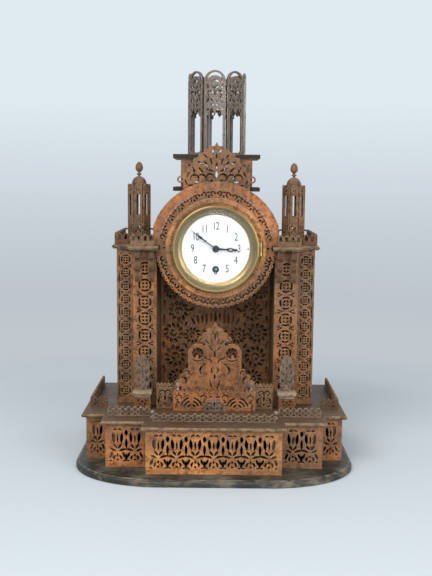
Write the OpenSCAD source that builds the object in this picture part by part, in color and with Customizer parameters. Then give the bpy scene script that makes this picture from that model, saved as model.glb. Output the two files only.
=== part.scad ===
// Fretwork mantel clock: a pierced wooden palace front with two towers, an arched
// drum housing, an open octagonal lantern and a small spring movement in a drum.
// Millimetres. +Z is up, the dial faces -Y, the origin is the middle of the plinth's underside.

/* [Base] */
// Width of the black plinth
plinth_w = 320; // [314:1:360]
// Thickness of the plinth
plinth_h = 8; // [6:0.5:14]
// Width of the pierced box over its end walls
base_w = 296; // [280:1:300]
// Depth of the box at its ends
base_d = 149; // [140:1:170]
// Height of the pierced walls
base_h = 49.5; // [40:0.5:70]
// Width over the middle step of the front
mid_w = 244; // [236:1:250]
// Width of the centre bay of the front
centre_w = 150; // [140:1:160]
// How far the middle step stands forward of the ends
mid_step = 30; // [20:1:40]
// How far the centre bay stands forward of the middle step
centre_step = 23; // [15:1:30]
// Plinth in front of the centre bay
plinth_front = 20; // [12:1:30]
// Plinth behind the box
plinth_rear = 4; // [2:1:10]
// Thickness of the fretwood
wall = 4; // [3:0.1:5]
// Thickness of the top board and slabs
slab_t = 4.5; // [3.5:0.1:6]
// Overhang of the top board
board_over = 5; // [3:0.5:7]

/* [Forecourt] */
// Height of the balustrade
balustrade_h = 25; // [20:1:32]
// Width of the balustrade
balustrade_w = 96; // [90:1:104]
// Height of the panels beside the balustrade
alcove_h = 31; // [26:1:36]
// Height of the shield ornament behind the balustrade
ornament_h = 104.5; // [95:1:115]
// Side of the square pedestals in front of the towers
pedestal_w = 18; // [16:0.5:22]
// Height of the pedestals' pierced sides
pedestal_h = 15; // [12:0.5:20]
// Thickness of the moulded slab on each pedestal
cap_t = 7.5; // [5:0.5:9]
// Height of the leaf sprays
spray_h = 43.5; // [36:0.5:48]
// Height of the crest rails on the base
rail_h = 11.5; // [8:0.5:14]

/* [Towers] */
// Clear width between the towers
tower_gap = 139; // [137:1:142]
// Width of one tower
tower_w = 48; // [46:0.5:50]
// Height of the tower walls
tower_h = 187; // [180:1:196]
// Width of the projecting bay on each tower
bay_w = 27.5; // [27:0.5:29]
// How far the bay stands forward of the outer wing
bay_step = 10; // [8:0.5:14]
// Depth of a tower behind the wing's face
tower_d = 97; // [92:1:98]
// How far the tower slab stands forward of the bay
slab_over = 16; // [14:0.5:18]
// Radius of the large rosettes
rosette_r = 7.8; // [7:0.1:8.4]
// Radius of the small rosettes
rosette_small_r = 5.6; // [5:0.1:6]
// Height of a tower lantern's panels
turret_h = 71; // [64:1:76]
// Radius of a tower lantern over its corners
turret_r = 14.6; // [13.5:0.1:16]
// Height of the crest rails on the towers
gallery_h = 14; // [11:0.5:17]

/* [Clock head] */
// Height of the dial centre above the tower walls' top
head_rise = 2; // [0:0.5:4]
// Half width of the pierced ring at the dial's height
ring_r = 73; // [71:0.5:76]
// Radius of the ring's arched head
arch_r = 77.5; // [76:0.5:80]
// Outer radius of the beaded collar round the bezel
collar_r = 58.5; // [56:0.5:60]
// Thickness of the beaded collar
collar_t = 5; // [4:0.5:7]
// Outer radius of the arched housing behind the ring
vault_r = 66; // [65:0.5:67]
// Width of the two crown plates
crown_w = 102; // [96:1:108]
// Depth of the crown plates
crown_d = 88; // [84:1:92]
// Height of the crown's pierced walls
crown_h = 33; // [28:1:40]
// Height of the crest in front of the crown
crest_h = 52; // [46:1:58]
// Height of the lantern's panels
lantern_h = 97.5; // [84:0.5:110]
// Radius of the lantern over its corners
lantern_r = 36.9; // [33:0.1:39]

/* [Movement] */
// Outer radius of the drum
drum_r = 45.5; // [44.5:0.5:46]
// Depth of the drum behind its flange
drum_d = 50; // [46:1:60]
// Outer radius of the brass bezel
bezel_r = 50; // [49.5:0.5:52]
// Radius of the visible dial
sight_r = 39.5; // [38:0.5:40.5]
// Length of the minute hand
minute_len = 35.7; // [30:0.1:37]
// Length of the hour hand
hour_len = 26.2; // [22:0.1:28]
// Clearance of turning fits, measured on the radius
fit = 0.04; // [0.02:0.01:0.08]

/* [Hidden] */
$fn = 48;

// Depths, front to back
plinth_d = plinth_front + centre_step + mid_step + base_d + plinth_rear;
back_y = plinth_d / 2 - plinth_rear;
end_y = back_y - base_d;
mid_y = end_y - mid_step;
centre_y = mid_y - centre_step;

// Heights
board_z = plinth_h + base_h;
floor_z = board_z + slab_t;
tower_z = floor_z + tower_h;
roof_z = tower_z + slab_t + 0.5;
head_z = tower_z + head_rise;
crown_z = head_z + vault_r;
plate_t = slab_t + 0.5;

// Tower plan
tower_in = tower_gap / 2;
tower_out = tower_in + tower_w;
bay_out = tower_in + bay_w;
tower_back = back_y - 4;
wing_y = tower_back - tower_d;
bay_y = wing_y - bay_step;
tower_x = (tower_in + tower_out) / 2;

// Forecourt plan
ped_x = 84.5;
ped_y = bay_y - 24;
orn_y = bay_y - 16;
bal_y = orn_y - 10;
crown_y = wing_y + 45;

// Colours
wood = "#8a5238";
wood_dark = "#6e4430";
wood_light = "#a5694a";
ebony = "#26241f";
brass = "#b8a45a";

// Panels: a flat drawing in X and Z becomes a board whose front face is at y
module upright(y, t = wall) translate([0, y + t, 0]) rotate([90, 0, 0]) linear_extrude(t) children();
// A flat drawing in Y and Z becomes a board from x to x + t
module sideways(x, t = wall) translate([x, 0, 0]) rotate([90, 0, 90]) linear_extrude(t) children();
module both() for (s = [0, 1]) mirror([s, 0, 0]) children();
module rect(x0, x1, y0, y1) translate([x0, y0]) square([x1 - x0, y1 - y0]);
// A right-hand outline and its mirror image as one polygon
module symmetric(half) polygon(concat(half, [for (i = [len(half) - 1:-1:0]) [-half[i][0], half[i][1]]]));

// Points on an arc of radius r from angle a to b in n steps
function arc(r, a, b, n = 6, c = [0, 0]) =
    [for (i = [0:n]) c + r * [cos(a + (b - a) * i / n), sin(a + (b - a) * i / n)]];

// Saw cuts. A leaf: two arcs that meet at both tips, l long and w wide, centred, turned by a
module leaf(l, w, a = 90) {
    r = (l * l + w * w) / (4 * w);
    rotate(a) intersection() {
        translate([0, r - w / 2]) circle(r = r);
        translate([0, w / 2 - r]) circle(r = r);
    }
}
// Middle of the circle through m on the axis and both points at angle h on radius r
function lune_c(r, h, m) = (m * m - r * r) / (2 * (m - r * cos(h)));
// A crescent along radius r from angle a to b, w wide in its middle
module bent(r, a, b, w) {
    h = abs(b - a) / 2;
    out = r + w / 2;
    in = r - w / 2;
    rotate((a + b) / 2) difference() {
        translate([lune_c(r, h, out), 0]) circle(r = out - lune_c(r, h, out));
        translate([lune_c(r, h, in), 0]) circle(r = in - lune_c(r, h, in));
    }
}
// A scroll: a crescent with a round eye inside its end at angle b
module volute(r, a, b, w) {
    bent(r, a, b, w);
    rotate(b) translate([r * 0.8, 0]) circle(r = w * 0.62);
}
// A slot between radii r and q from angle a to b
module slot(r, q, a, b) intersection() {
    difference() {
        circle(r = q);
        circle(r = r);
    }
    polygon([[0, 0], 2 * q * [cos(a), sin(a)], 2 * q * [cos((a + b) / 2), sin((a + b) / 2)],
        2 * q * [cos(b), sin(b)]]);
}
// An upright and a level bar across a round piercing
module cross_bars(r, w) {
    rect(-w, w, -r, r);
    rect(-r, r, -w, w);
}
// Rosette: four outer slots round four quarter discs
module rosette(r) {
    difference() {
        circle(r = r);
        circle(r = r * 0.72);
        rotate(45) cross_bars(r + 1, r * 0.13);
    }
    difference() {
        circle(r = r * 0.50);
        circle(r = r * 0.20);
        cross_bars(r, r * 0.10);
    }
}

// Two chevrons pointing at each other between two rosettes, span apart
module chevrons(r, span, w)
    for (s = [-1, 1]) scale([s, 1])
        polygon([[r * 0.42, 0], [span, w * 1.5], [span, w * 0.55], [r * 0.42 + w, 0], [span, -w * 0.55],
            [span, -w * 1.5]]);

// A column of rosettes between z0 and z1 at x, as many as fit the pitch
module rosette_column(x, z0, z1, r, pitch, span, chev) {
    n = floor((z1 - z0) / pitch);
    start = (z0 + z1 - n * pitch) / 2 + pitch / 2;
    for (i = [0:n - 1]) translate([x, start + i * pitch]) rosette(r);
    if (chev > 0) for (i = [0:n]) translate([x, start + (i - 0.5) * pitch]) intersection() {
        chevrons(r, span, chev);
        if (i == 0) rect(-span, span, 0, pitch);
        else if (i == n) rect(-span, span, -pitch, 0);
        else rect(-span, span, -pitch, pitch);
    }
}

// One lotus of the base's frieze in a field p wide and h high
module lotus(p, h) {
    translate([0, h * 0.72]) leaf(h * 0.26, p * 0.10);
    translate([0, h * 0.10]) circle(r = p * 0.065);
    translate([0, h * 0.24]) leaf(h * 0.10, p * 0.10);
    for (s = [-1, 1]) scale([s, 1]) {
        translate([p * 0.235, h * 0.75]) leaf(h * 0.34, p * 0.19, 85);
        translate([p * 0.12, h * 0.95]) bent(p * 0.12, 15, 150, p * 0.10);
        translate([p * 0.13, h * 0.50]) leaf(h * 0.19, p * 0.13, 54);
        translate([p * 0.25, h * 0.395]) leaf(p * 0.40, p * 0.14, 26);
        translate([0, h * 0.14]) bent(p * 0.21, -30, 70, p * 0.115);
        translate([p * 0.37, h * 0.24]) leaf(h * 0.22, p * 0.14, 112);
        translate([p * 0.39, h * 0.07]) leaf(p * 0.19, p * 0.10, 10);
    }
}

// What stands between two lotuses: a bar, a crescent and a tulip
module stem(p, h) {
    translate([0, h * 0.59]) leaf(h * 0.32, p * 0.16);
    translate([0, h * 0.90]) leaf(h * 0.19, p * 0.20);
    translate([0, h * 0.33]) bent(p * 0.17, 20, 160, p * 0.11);
    translate([0, h * 0.17]) leaf(h * 0.24, p * 0.15);
}

// A frieze panel: n lotuses between x0 and x1, plain rails above and below
rail_top = 6;
rail_low = 4.5;
frieze_h = base_h - rail_top - rail_low;
stile = 4;
module frieze(x0, x1, n) {
    p = (x1 - x0 - 2 * stile) / n;
    difference() {
        rect(x0, x1, plinth_h, board_z);
        for (i = [0:n - 1]) translate([x0 + stile + p * (i + 0.5), plinth_h + rail_low]) lotus(p, frieze_h);
        if (n > 1) for (i = [1:n - 1]) translate([x0 + stile + p * i, plinth_h + rail_low]) stem(p, frieze_h);
    }
}

// Plan of the plinth drawn in by d all round: straight back, bowed front
module plinth_plan(d) {
    w = plinth_w / 2 - d;
    corner = 100 - d;
    bow = 77 - d;
    y = -plinth_d / 2 + d;
    polygon(concat([[w, plinth_d / 2 - d], [-w, plinth_d / 2 - d]],
        [for (a = [0:5:90]) [-w + corner - corner * cos(a), y + bow - bow * sin(a)]],
        [for (a = [90:-5:0]) [w - corner + corner * cos(a), y + bow - bow * sin(a)]]));
}

module plinth() color(ebony) hull() {
    linear_extrude(0.01) plinth_plan(1);
    translate([0, 0, 1.2]) linear_extrude(plinth_h - 4.4) plinth_plan(0);
    translate([0, 0, plinth_h - 1.4]) linear_extrude(0.01) plinth_plan(0.9);
    translate([0, 0, plinth_h - 0.01]) linear_extrude(0.01) plinth_plan(3);
}

module base_centre_panel() color(wood_light) upright(centre_y) frieze(-centre_w / 2, centre_w / 2, 7);

module base_step_panels() color(wood) both() {
    upright(mid_y) frieze(centre_w / 2, mid_w / 2, 2);
    upright(end_y) frieze(mid_w / 2, base_w / 2, 1);
}

// Ends of the box and the short returns of its steps
module base_end_walls() color(wood_dark) both() {
    sideways(base_w / 2 - wall) frieze(end_y + wall, back_y - wall, 6);
    sideways(mid_w / 2 - wall) rect(mid_y + wall, end_y + wall, plinth_h, board_z);
    sideways(centre_w / 2 - wall) rect(centre_y + wall, mid_y + wall, plinth_h, board_z);
}

module base_back_panel() color(wood_dark) upright(back_y - wall) rect(-base_w / 2, base_w / 2, plinth_h,
    board_z);

// Square battens glued into the inner corners of the box
batten = 8;
module glue_blocks() color(wood_light) both() translate([0, 0, plinth_h]) {
    h = base_h;
    translate([base_w / 2 - wall - batten, back_y - wall - batten, 0]) cube([batten, batten, h]);
    translate([base_w / 2 - wall - batten, end_y + wall, 0]) cube([batten, batten, h]);
    translate([mid_w / 2 - wall - batten, mid_y + wall, 0]) cube([batten, batten, h]);
    translate([centre_w / 2 - wall - batten, centre_y + wall, 0]) cube([batten, batten, h]);
}

// Stepped plan of the top board, standing over the walls by d
function board_half(d) = [
    [centre_w / 2 + d, centre_y - d], [centre_w / 2 + d, mid_y - d], [mid_w / 2 + d, mid_y - d],
    [mid_w / 2 + d, end_y - d], [base_w / 2 + d, end_y - d], [base_w / 2 + d, back_y + d / 5]];
module board_plan(d) {
    symmetric(board_half(d));
}
module top_board() color(wood) {
    translate([0, 0, board_z]) linear_extrude(1.2) board_plan(board_over - 1);
    translate([0, 0, board_z + 1.2]) linear_extrude(slab_t - 2.4) board_plan(board_over);
    translate([0, 0, floor_z - 1.2]) linear_extrude(1.2) board_plan(board_over - 1);
}

// A crest rail from x0 to x1 on z: a row of triangular piercings under a row of small arches
module crest_rail(x0, x1, z, h, p) {
    n = max(1, round((x1 - x0) / p));
    q = (x1 - x0) / n;
    difference() {
        union() {
            rect(x0, x1, z, z + h * 0.78);
            for (i = [0:n - 1]) translate([x0 + q * (i + 0.5), z + h * 0.78]) circle(r = min(q * 0.46,
                h * 0.22));
        }
        for (i = [0:n - 1]) translate([x0 + q * (i + 0.5), z]) {
            polygon([[-q * 0.34, h * 0.12], [q * 0.34, h * 0.12], [0, h * 0.46]]);
            translate([0, h * 0.68]) circle(r = min(q * 0.25, h * 0.15));
        }
        if (n > 1) for (i = [1:n - 1]) translate([x0 + q * i, z])
            polygon([[-q * 0.27, h * 0.54], [0, h * 0.22], [q * 0.27, h * 0.54]]);
    }
}

rail_t = 2.5;
centre_rail_y = centre_y + 19;
step_rail_y = mid_y + 18;
end_rail_y = end_y + 28;
module front_rails() color(wood_dark) {
    upright(centre_rail_y, rail_t) crest_rail(-centre_w / 2 + 6, centre_w / 2 - 6, floor_z, rail_h * 0.85,
        8.6);
    both() upright(step_rail_y, rail_t) crest_rail(centre_w / 2 - 2, mid_w / 2, floor_z, rail_h, 7);
}

// Rails at the ends of the base: a rising front piece and one along each end
module end_rails() color(wood_dark) both() {
    upright(end_rail_y, rail_t) {
        crest_rail(mid_w / 2 + 4, base_w / 2 - 3, floor_z, rail_h, 6.6);
    }
    sideways(base_w / 2 - 3, rail_t) crest_rail(end_rail_y, back_y - 6, floor_z, rail_h, 7.2);
}

// A small turned knob on a foot
module knob(r, h) rotate_extrude($fn = 32) polygon([[0, 0], [r, 0], [r, h * 0.12], [r * 0.55, h * 0.2],
    [r * 0.42, h * 0.36], [r * 0.7, h * 0.45], [r * 0.95, h * 0.6], [r * 0.98, h * 0.74], [r * 0.8, h * 0.88],
    [r * 0.4, h * 0.97], [0, h]]);
knob_h = 9;
module turned_knobs() color(wood_light) both() {
    translate([centre_w / 2 - 5, step_rail_y - 5, floor_z]) knob(3, knob_h);
    translate([balustrade_w / 2 - 5, bal_y + wall / 2, floor_z + balustrade_h]) knob(1.9, knob_h);
}

// Small crest standing before the balustrade
crest_w = 27;
module front_crest() color(wood_dark) upright(bal_y - 3, 3) translate([0, floor_z]) difference() {
    polygon([[-crest_w / 2, 0], [crest_w / 2, 0], [crest_w * 0.44, 9], [crest_w * 0.3, 12.5],
        [crest_w * 0.12, 13],
        [0, 16], [-crest_w * 0.12, 13], [-crest_w * 0.3, 12.5], [-crest_w * 0.44, 9]]);
    for (s = [-1, 1]) scale([s, 1]) {
        translate([3.1, 3.6]) leaf(4.4, 1.9, 60);
        translate([8.6, 3.4]) leaf(4, 1.8, 120);
        translate([5.4, 8.4]) bent(2, 0, 200, 1.4);
        translate([9.4, 8]) circle(r = 0.9);
    }
    translate([0, 9]) leaf(5.6, 1.9);
    translate([0, 3.2]) circle(r = 1);
}

// Balustrade: two half-round fans under a beaded top edge
module balustrade() color(wood_light) upright(bal_y) translate([0, floor_z]) difference() {
    w = balustrade_w / 2;
    union() {
        rect(-w, w, 0, balustrade_h - 2);
        n = round(balustrade_w / 4.4);
        for (i = [0:n - 1]) translate([-w + (i + 0.5) * balustrade_w / n, balustrade_h - 2]) circle(r = 1.8);
    }
    for (s = [-1, 1]) scale([s, 1]) translate([w * 0.56, 3]) {
        for (r = [4.4, 8.6, 12.6]) slot(r - 1.2, r + 1.0, 14, 76);
        for (r = [4.4, 8.6, 12.6]) slot(r - 1.2, r + 1.0, 104, 166);
        translate([-14.4, 12.4]) volute(3.4, -60, 240, 1.7);
        translate([15, 12.4]) volute(3.4, 240, -60, 1.7);
        translate([17.4, 3.4]) leaf(7, 2.2, 100);
    }
    for (x = [-8, 0, 8]) translate([x, 7]) leaf(9, 2.6);
    for (x = [-4, 4]) translate([x, 14.5]) bent(2.6, 20, 160, 1.6);
    m = 12;
    for (i = [0:m - 1]) translate([-w + 6 + i * (balustrade_w - 12) / (m - 1), balustrade_h - 4.6])
        circle(r = 0.8);
}

module alcove_panels() color(wood_dark) both() upright(orn_y) {
    x0 = balustrade_w / 2;
    x1 = tower_in - 1;
    w = x1 - x0;
    difference() {
        union() {
            rect(x0, x1, floor_z, floor_z + alcove_h - 2);
            for (i = [0:4]) translate([x0 + w * (i + 0.5) / 5, floor_z + alcove_h - 2]) circle(r = w / 11);
        }
        translate([(x0 + x1) / 2, floor_z]) {
            for (s = [-1, 1]) scale([s, 1]) {
                translate([3.6, 9]) bent(4.4, -60, 100, 2);
                translate([3.4, 18.6]) volute(3.2, 240, -40, 1.6);
                translate([5.6, 3.6]) leaf(5, 1.8, 30);
            }
            translate([0, 13]) leaf(7.6, 2.4);
            translate([0, 5.4]) circle(r = 1.3);
        }
        for (i = [0:4]) translate([x0 + w * (i + 0.5) / 5, floor_z + alcove_h - 4.6]) circle(r = 0.9);
    }
}

// Shield ornament: two round lobes on a solid field, a lyre between them, a palmette above, leafy scrolls
// beside
module ornament_cuts() {
    // Round window in each lobe with a leaf standing in it
    translate([20, 66.6]) difference() {
        circle(r = 6.8);
        translate([1, -5.4]) leaf(7, 3.6, 96);
    }
    translate([20, 66.6]) bent(9.2, 215, 325, 1.8);
    // Lyre
    translate([11, 46]) bent(6.2, -62, 84, 2.5);
    translate([4.4, 29]) leaf(14, 2.3, 75);
    translate([2.6, 14]) leaf(15, 1.6, 86);
    translate([0, 46.4]) bent(3.8, -64, 64, 1.9);
    translate([5.0, 58]) leaf(8, 2.3, 62);
    translate([9.6, 60.4]) leaf(7, 2.1, 28);
    translate([12, 53.6]) leaf(6, 2, -10);
    // Palmette
    translate([5, 72.6]) leaf(8, 2, 50);
    translate([3.8, 81]) leaf(10, 2.1, 70);
    translate([8.8, 80]) leaf(7.5, 2, 40);
    translate([14.6, 81.4]) bent(3, -30, 120, 1.8);
    translate([2.6, 91]) leaf(6, 1.6, 74);
    // Leaf scrolls at the side
    translate([37.6, 33.4]) bent(4.4, 50, 250, 2.6);
    translate([41.2, 23.6]) leaf(9, 3, 122);
    translate([33.4, 42.6]) bent(3.2, 20, 220, 2);
    translate([36.2, 18]) volute(4, -30, 230, 2.2);
    translate([43, 11.6]) leaf(7, 2.4, 60);
}
module centre_ornament() color(wood_light) upright(orn_y) translate([0, floor_z]) difference() {
    w = balustrade_w / 2 - 0.4;
    symmetric(concat([[w, 0], [w, 26]], arc(5, 10, 110, 4, [w - 5.2, 30]), arc(4, -20, 100, 4, [w - 9.5, 38]),
        arc(3.6, -10, 120, 4, [w - 14.6, 44.6]), [[31.4, 50]], arc(11.6, -10, 132, 9, [19.8, 66.6]), [[11.6,
            79]],
        arc(3.4, -10, 130, 4, [16.4, 83]), arc(3.2, 0, 120, 4, [11.4, 88.4]), arc(3, -10, 120, 4, [7, 93.6]),
        [[4.2, 98], [2.2, 99.4], [0.1, ornament_h]]));
    for (s = [-1, 1]) scale([s, 1]) ornament_cuts();
    translate([0, 66]) leaf(9, 2.2);
    translate([0, 86]) leaf(12, 2);
    translate([0, 38.6]) leaf(7, 2.2);
}

// Pierced square: a quatrefoil with corner holes, w wide and h high
module pierced_square(w, h) difference() {
    rect(-w / 2, w / 2, 0, h);
    translate([0, h / 2]) {
        for (k = [0:3]) rotate(90 * k) translate([h * 0.2, 0]) leaf(h * 0.22, h * 0.15, 90);
        for (k = [0:3]) rotate(45 + 90 * k) translate([h * 0.40, 0]) leaf(h * 0.26, h * 0.14, 90);
        circle(r = h * 0.05);
    }
}
module pedestal_sides() color(wood_light) both() translate([ped_x, ped_y, floor_z]) {
    w = pedestal_w;
    for (y = [0, w - rail_t]) translate([0, y, 0]) upright(0, rail_t) pierced_square(w, pedestal_h);
    for (x = [-w / 2, w / 2 - rail_t]) translate([x, w / 2, 0]) sideways(0, rail_t)
        pierced_square(w - 2 * rail_t, pedestal_h);
}
// Moulded slab on each pedestal, drawn in by steps towards its underside
module pedestal_caps() color("#98958a") both() translate([ped_x, ped_y + pedestal_w / 2, floor_z +
    pedestal_h]) {
    w = pedestal_w + 4;
    for (step = [[0, 2, 2.2], [2.2, 1, 1.6], [3.8, 0, cap_t - 3.8]])
        translate([-w / 2 + step[1], -w / 2 + step[1], step[0]]) cube([w - 2 * step[1], w - 2 * step[1],
            step[2]]);
}
// Leaf spray: an urn with pairs of leaves
module spray_plan() {
    h = spray_h;
    difference() {
        union() {
            for (s = [-1, 1]) scale([s, 1]) {
                polygon([[0, 0], [5.4, 0], [4.2, 3], [6.4, 6], [9.6, 11], [7.6, 16], [9.8, 20], [7.8, 25],
                    [9.2, 29],
                    [6.4, 33], [6.6, 37], [3.2, 40], [0, h]]);
            }
        }
        for (s = [-1, 1]) scale([s, 1]) {
            translate([4.6, 12]) leaf(7, 1.9, 60);
            translate([4.8, 21.4]) leaf(7, 1.9, 58);
            translate([4.2, 30]) leaf(6, 1.7, 60);
            translate([3, 5]) leaf(4, 1.5, 70);
        }
        translate([0, 17]) leaf(8, 1.5);
        translate([0, 26.4]) leaf(7, 1.4);
        translate([0, 35]) leaf(6.4, 1.4);
        translate([0, 8.6]) circle(r = 0.9);
    }
}
module leaf_sprays() color(wood_dark) both() translate([ped_x, 0, floor_z + pedestal_h + cap_t])
    upright(ped_y + pedestal_w / 2 - 1.5, 3) spray_plan();

// Towers
bay_x = (tower_in + bay_out) / 2;
wing_x = (bay_out + tower_out - 1) / 2;
module tower_bay_panels() color(wood) both() upright(bay_y) difference() {
    rect(tower_in, bay_out, floor_z, tower_z);
    rosette_column(bay_x, floor_z + 6, tower_z - 4, rosette_r, rosette_r * 2.56, bay_w / 2 - 4, 2.1);
}
module tower_wing_panels() color(wood) both() upright(wing_y) difference() {
    rect(bay_out, tower_out, floor_z, tower_z);
    rosette_column(wing_x, floor_z + 6, tower_z - 4, rosette_small_r, rosette_small_r * 2.84,
        rosette_small_r * 1.12, 1.5);
    n = 9;
    for (i = [0:n - 1]) translate([tower_out - 3, floor_z + 15 + i * (tower_h - 30) / (n - 1)]) leaf(16, 1.7);
}
module tower_side_walls() color(wood_dark) both() {
    sideways(tower_out - wall) difference() {
        rect(wing_y + wall, tower_back - wall, floor_z, tower_z);
        for (k = [0:2]) rosette_column(wing_y + wall + (k + 0.5) * (tower_d - 2 * wall) / 3, floor_z + 6,
            tower_z - 4,
            rosette_r * 1.3, rosette_r * 3.2, 0, 0);
    }
    sideways(tower_in) rect(bay_y + wall, tower_back - wall, floor_z, tower_z);
    sideways(bay_out - wall) rect(bay_y + wall, wing_y + wall, floor_z, tower_z);
}
// Back boards: one behind each tower, and between them one behind the arabesque whose round head closes the
// vault
module tower_back_walls() color(wood_dark) {
    both() upright(tower_back - wall) rect(tower_in, tower_out, floor_z, tower_z);
    upright(vault_back) {
        rect(-tower_in + 0.05, tower_in - 0.05, floor_z, tower_z);
        translate([0, head_z]) intersection() {
            circle(r = vault_r);
            rect(-vault_r, vault_r, -head_rise - 0.1, vault_r);
        }
    }
}

// Tower slabs: stepped boards with a rounded front edge
slab_in = vault_r + 0.2;
function slab_plan(d) = [[slab_in, bay_y - slab_over + d], [bay_out + 5 - d, bay_y - slab_over + d],
    [bay_out + 5 - d, wing_y - 6 + d], [tower_out + 5 - d, wing_y - 6 + d], [tower_out + 5 - d,
        tower_back + 3.5 - d],
    [slab_in, tower_back + 3.5 - d]];
module tower_slabs() color(wood_light) both() translate([0, 0, tower_z]) {
    linear_extrude(1.4) polygon(slab_plan(1.3));
    translate([0, 0, 1.4]) linear_extrude(plate_t - 2.8) polygon(slab_plan(0));
    translate([0, 0, plate_t - 1.4]) linear_extrude(1.4) polygon(slab_plan(1.3));
}

// Scalloped brackets under the slabs, standing on the bay's face
corbel_h = 38;
corbel_t = 6.4;
corbel_out = slab_over - 4;
module corbels() color("#8f8678") both() for (x = [bay_x - 8, bay_x + 8])
    translate([0, bay_y, tower_z]) sideways(x - corbel_t / 2, corbel_t)
        polygon(corbel_side());
// Outline from the foot up: three lobes, each further out than the one below
function corbel_side() = concat([[0, 0], [0, -corbel_h], [-1.4, -corbel_h]],
    [for (k = [0:2]) each let (out = corbel_out * (0.42 + 0.26 * k), z = -corbel_h * (1 - (k + 0.5) / 3))
        [[-out * 0.62, z - corbel_h * 0.15], [-out * 0.92, z - corbel_h * 0.09], [-out, z], [-out * 0.95,
            z + corbel_h * 0.08],
         [-out * 0.8, z + corbel_h * 0.125]]],
    [[-corbel_out, -1.6], [-corbel_out, 0]]);

// Crest rails on the slabs: lancet arches over a plain band
module lancets(x0, x1, z, h, p) {
    n = max(1, round((x1 - x0) / p));
    q = (x1 - x0) / n;
    band = h * 0.40;
    difference() {
        union() {
            rect(x0, x1, z, z + h * 0.72);
            for (i = [0:n - 1]) translate([x0 + q * (i + 0.5), z + h * 0.72]) {
                circle(r = q * 0.46);
                polygon([[-q * 0.2, q * 0.3], [q * 0.2, q * 0.3], [0, h * 0.28]]);
            }
        }
        for (i = [0:n - 1]) translate([x0 + q * (i + 0.5), z]) {
            rect(-q * 0.26, q * 0.26, band, h * 0.7);
            translate([0, h * 0.7]) circle(r = q * 0.26);
        }
    }
}
module tower_rails() color(wood_dark) both() {
    upright(bay_y - slab_over + 3, rail_t) lancets(tower_in + 2, bay_out + 2, roof_z, gallery_h, 7.8);
    upright(wing_y - 3, rail_t) lancets(bay_out + 6, tower_out + 2 - rail_t, roof_z, gallery_h, 6.6);
    sideways(tower_out + 2 - rail_t, rail_t) lancets(wing_y - 3, tower_back + 1, roof_z, gallery_h, 7.8);
    upright(tower_back + 1, rail_t) lancets(tower_in + 2, tower_out + 2, roof_z, gallery_h, 7.8);
}

// One side of an eight-sided lantern, its outer face a flat of side s; children are drawn in X and Z
module octagon_sides(r, t) {
    flat = r * cos(22.5);
    for (k = [0:7]) rotate([0, 0, 45 * k]) translate([0, -flat, 0]) upright(0, t) children();
}
function side_of(r) = 2 * r * sin(22.5);

turret_y = wing_y + 32;
module turret_panel() {
    w = side_of(turret_r) - 2 * 1.7 * tan(22.5) - 0.06;
    h = turret_h;
    difference() {
        union() {
            rect(-w / 2, w / 2, 0, h - w / 2);
            translate([0, h - w / 2]) circle(r = w / 2);
        }
        rect(-w * 0.21, w * 0.21, h * 0.47, h * 0.82);
        translate([0, h * 0.875]) bent(w * 0.2, 0, 180, w * 0.16);
        for (s = [-1, 1]) scale([s, 1]) {
            translate([w * 0.30, h * 0.07]) bent(w * 0.26, 90, 190, w * 0.15);
            translate([w * 0.18, h * 0.28]) leaf(h * 0.1, w * 0.17, 60);
            translate([w * 0.26, h * 0.20]) leaf(h * 0.07, w * 0.14, 120);
        }
        translate([0, h * 0.12]) leaf(h * 0.11, w * 0.16);
    }
}
module turret_panels() color(wood_dark) both() translate([tower_x, turret_y, roof_z])
    octagon_sides(turret_r, 1.7) turret_panel();

// Domed cap with a ring and an acorn, turned in one piece, let into the top of the lantern
module turret_domes() color(wood_light) both() translate([tower_x, turret_y, roof_z + turret_h - 8])
    rotate_extrude($fn = 48) {
    r = turret_r * cos(22.5) - 1.7 - 0.05;
    polygon(concat([[0, 0], [r, 0], [r, 3], [8.9, 3.4]], [for (a = [0:12:84]) [8.9 * cos(a), 7.6 +
        9.6 * sin(a)]],
        [[1.4, 17.4], [1.6, 18.4], [3, 19], [3, 20], [1.7, 20.8], [1.6, 22], [2.6, 22.8], [4.2, 24.6], [4.6,
            27],
         [4.1, 30], [2.8, 32.6], [1.2, 34], [0, 34.4]]));
}

// Pierced ring round the dial: scrolls between two plain bands, notched for the slabs, scalloped below
ring_t = wall;
ring_y = bay_y - ring_t;
ring_hole = drum_r + 0.5;
scrolls = 22;
scallops = 36;
module ring_fret() color(wood_light) upright(ring_y, ring_t) translate([0, head_z]) difference() {
    low_r = ring_r - 4.6;
    mid = (collar_r + low_r) / 2 - 0.3;
    union() {
        intersection() {
            circle(r = arch_r);
            rect(-ring_r, ring_r, 0, arch_r);
        }
        circle(r = low_r);
        for (k = [0:scallops - 1]) rotate(180 + 180 * (k + 0.5) / scallops) translate([low_r - 1.2, 0])
            circle(r = 3.1);
    }
    circle(r = ring_hole);
    for (k = [0:scrolls - 1]) let (a = 90 + 360 / scrolls * k) rotate(a) {
        // The scroll next to a notch is left out
        for (s = [-1, 1]) if (abs(sin(a + 3 * s)) > 0.12) translate([mid, 0]) scale([1, s])
            translate([0.1, 3.6]) volute(2.6, 200, -70, 2.2);
        rotate(180 / scrolls) {
            translate([mid + 2.4, 0]) leaf(4.6, 2.2, 90);
            translate([mid - 2.4, 0]) leaf(3.8, 2, 0);
        }
    }
    for (k = [0:scallops - 1]) rotate(180 + 180 * (k + 0.5) / scallops) translate([low_r + 0.3, 0])
        circle(r = 0.8);
    // Notches for the inner ends of the slabs
    both() rect(slab_in - 0.3, arch_r + 5, tower_z - head_z - 0.3, roof_z - head_z + 0.3);
}

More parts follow.
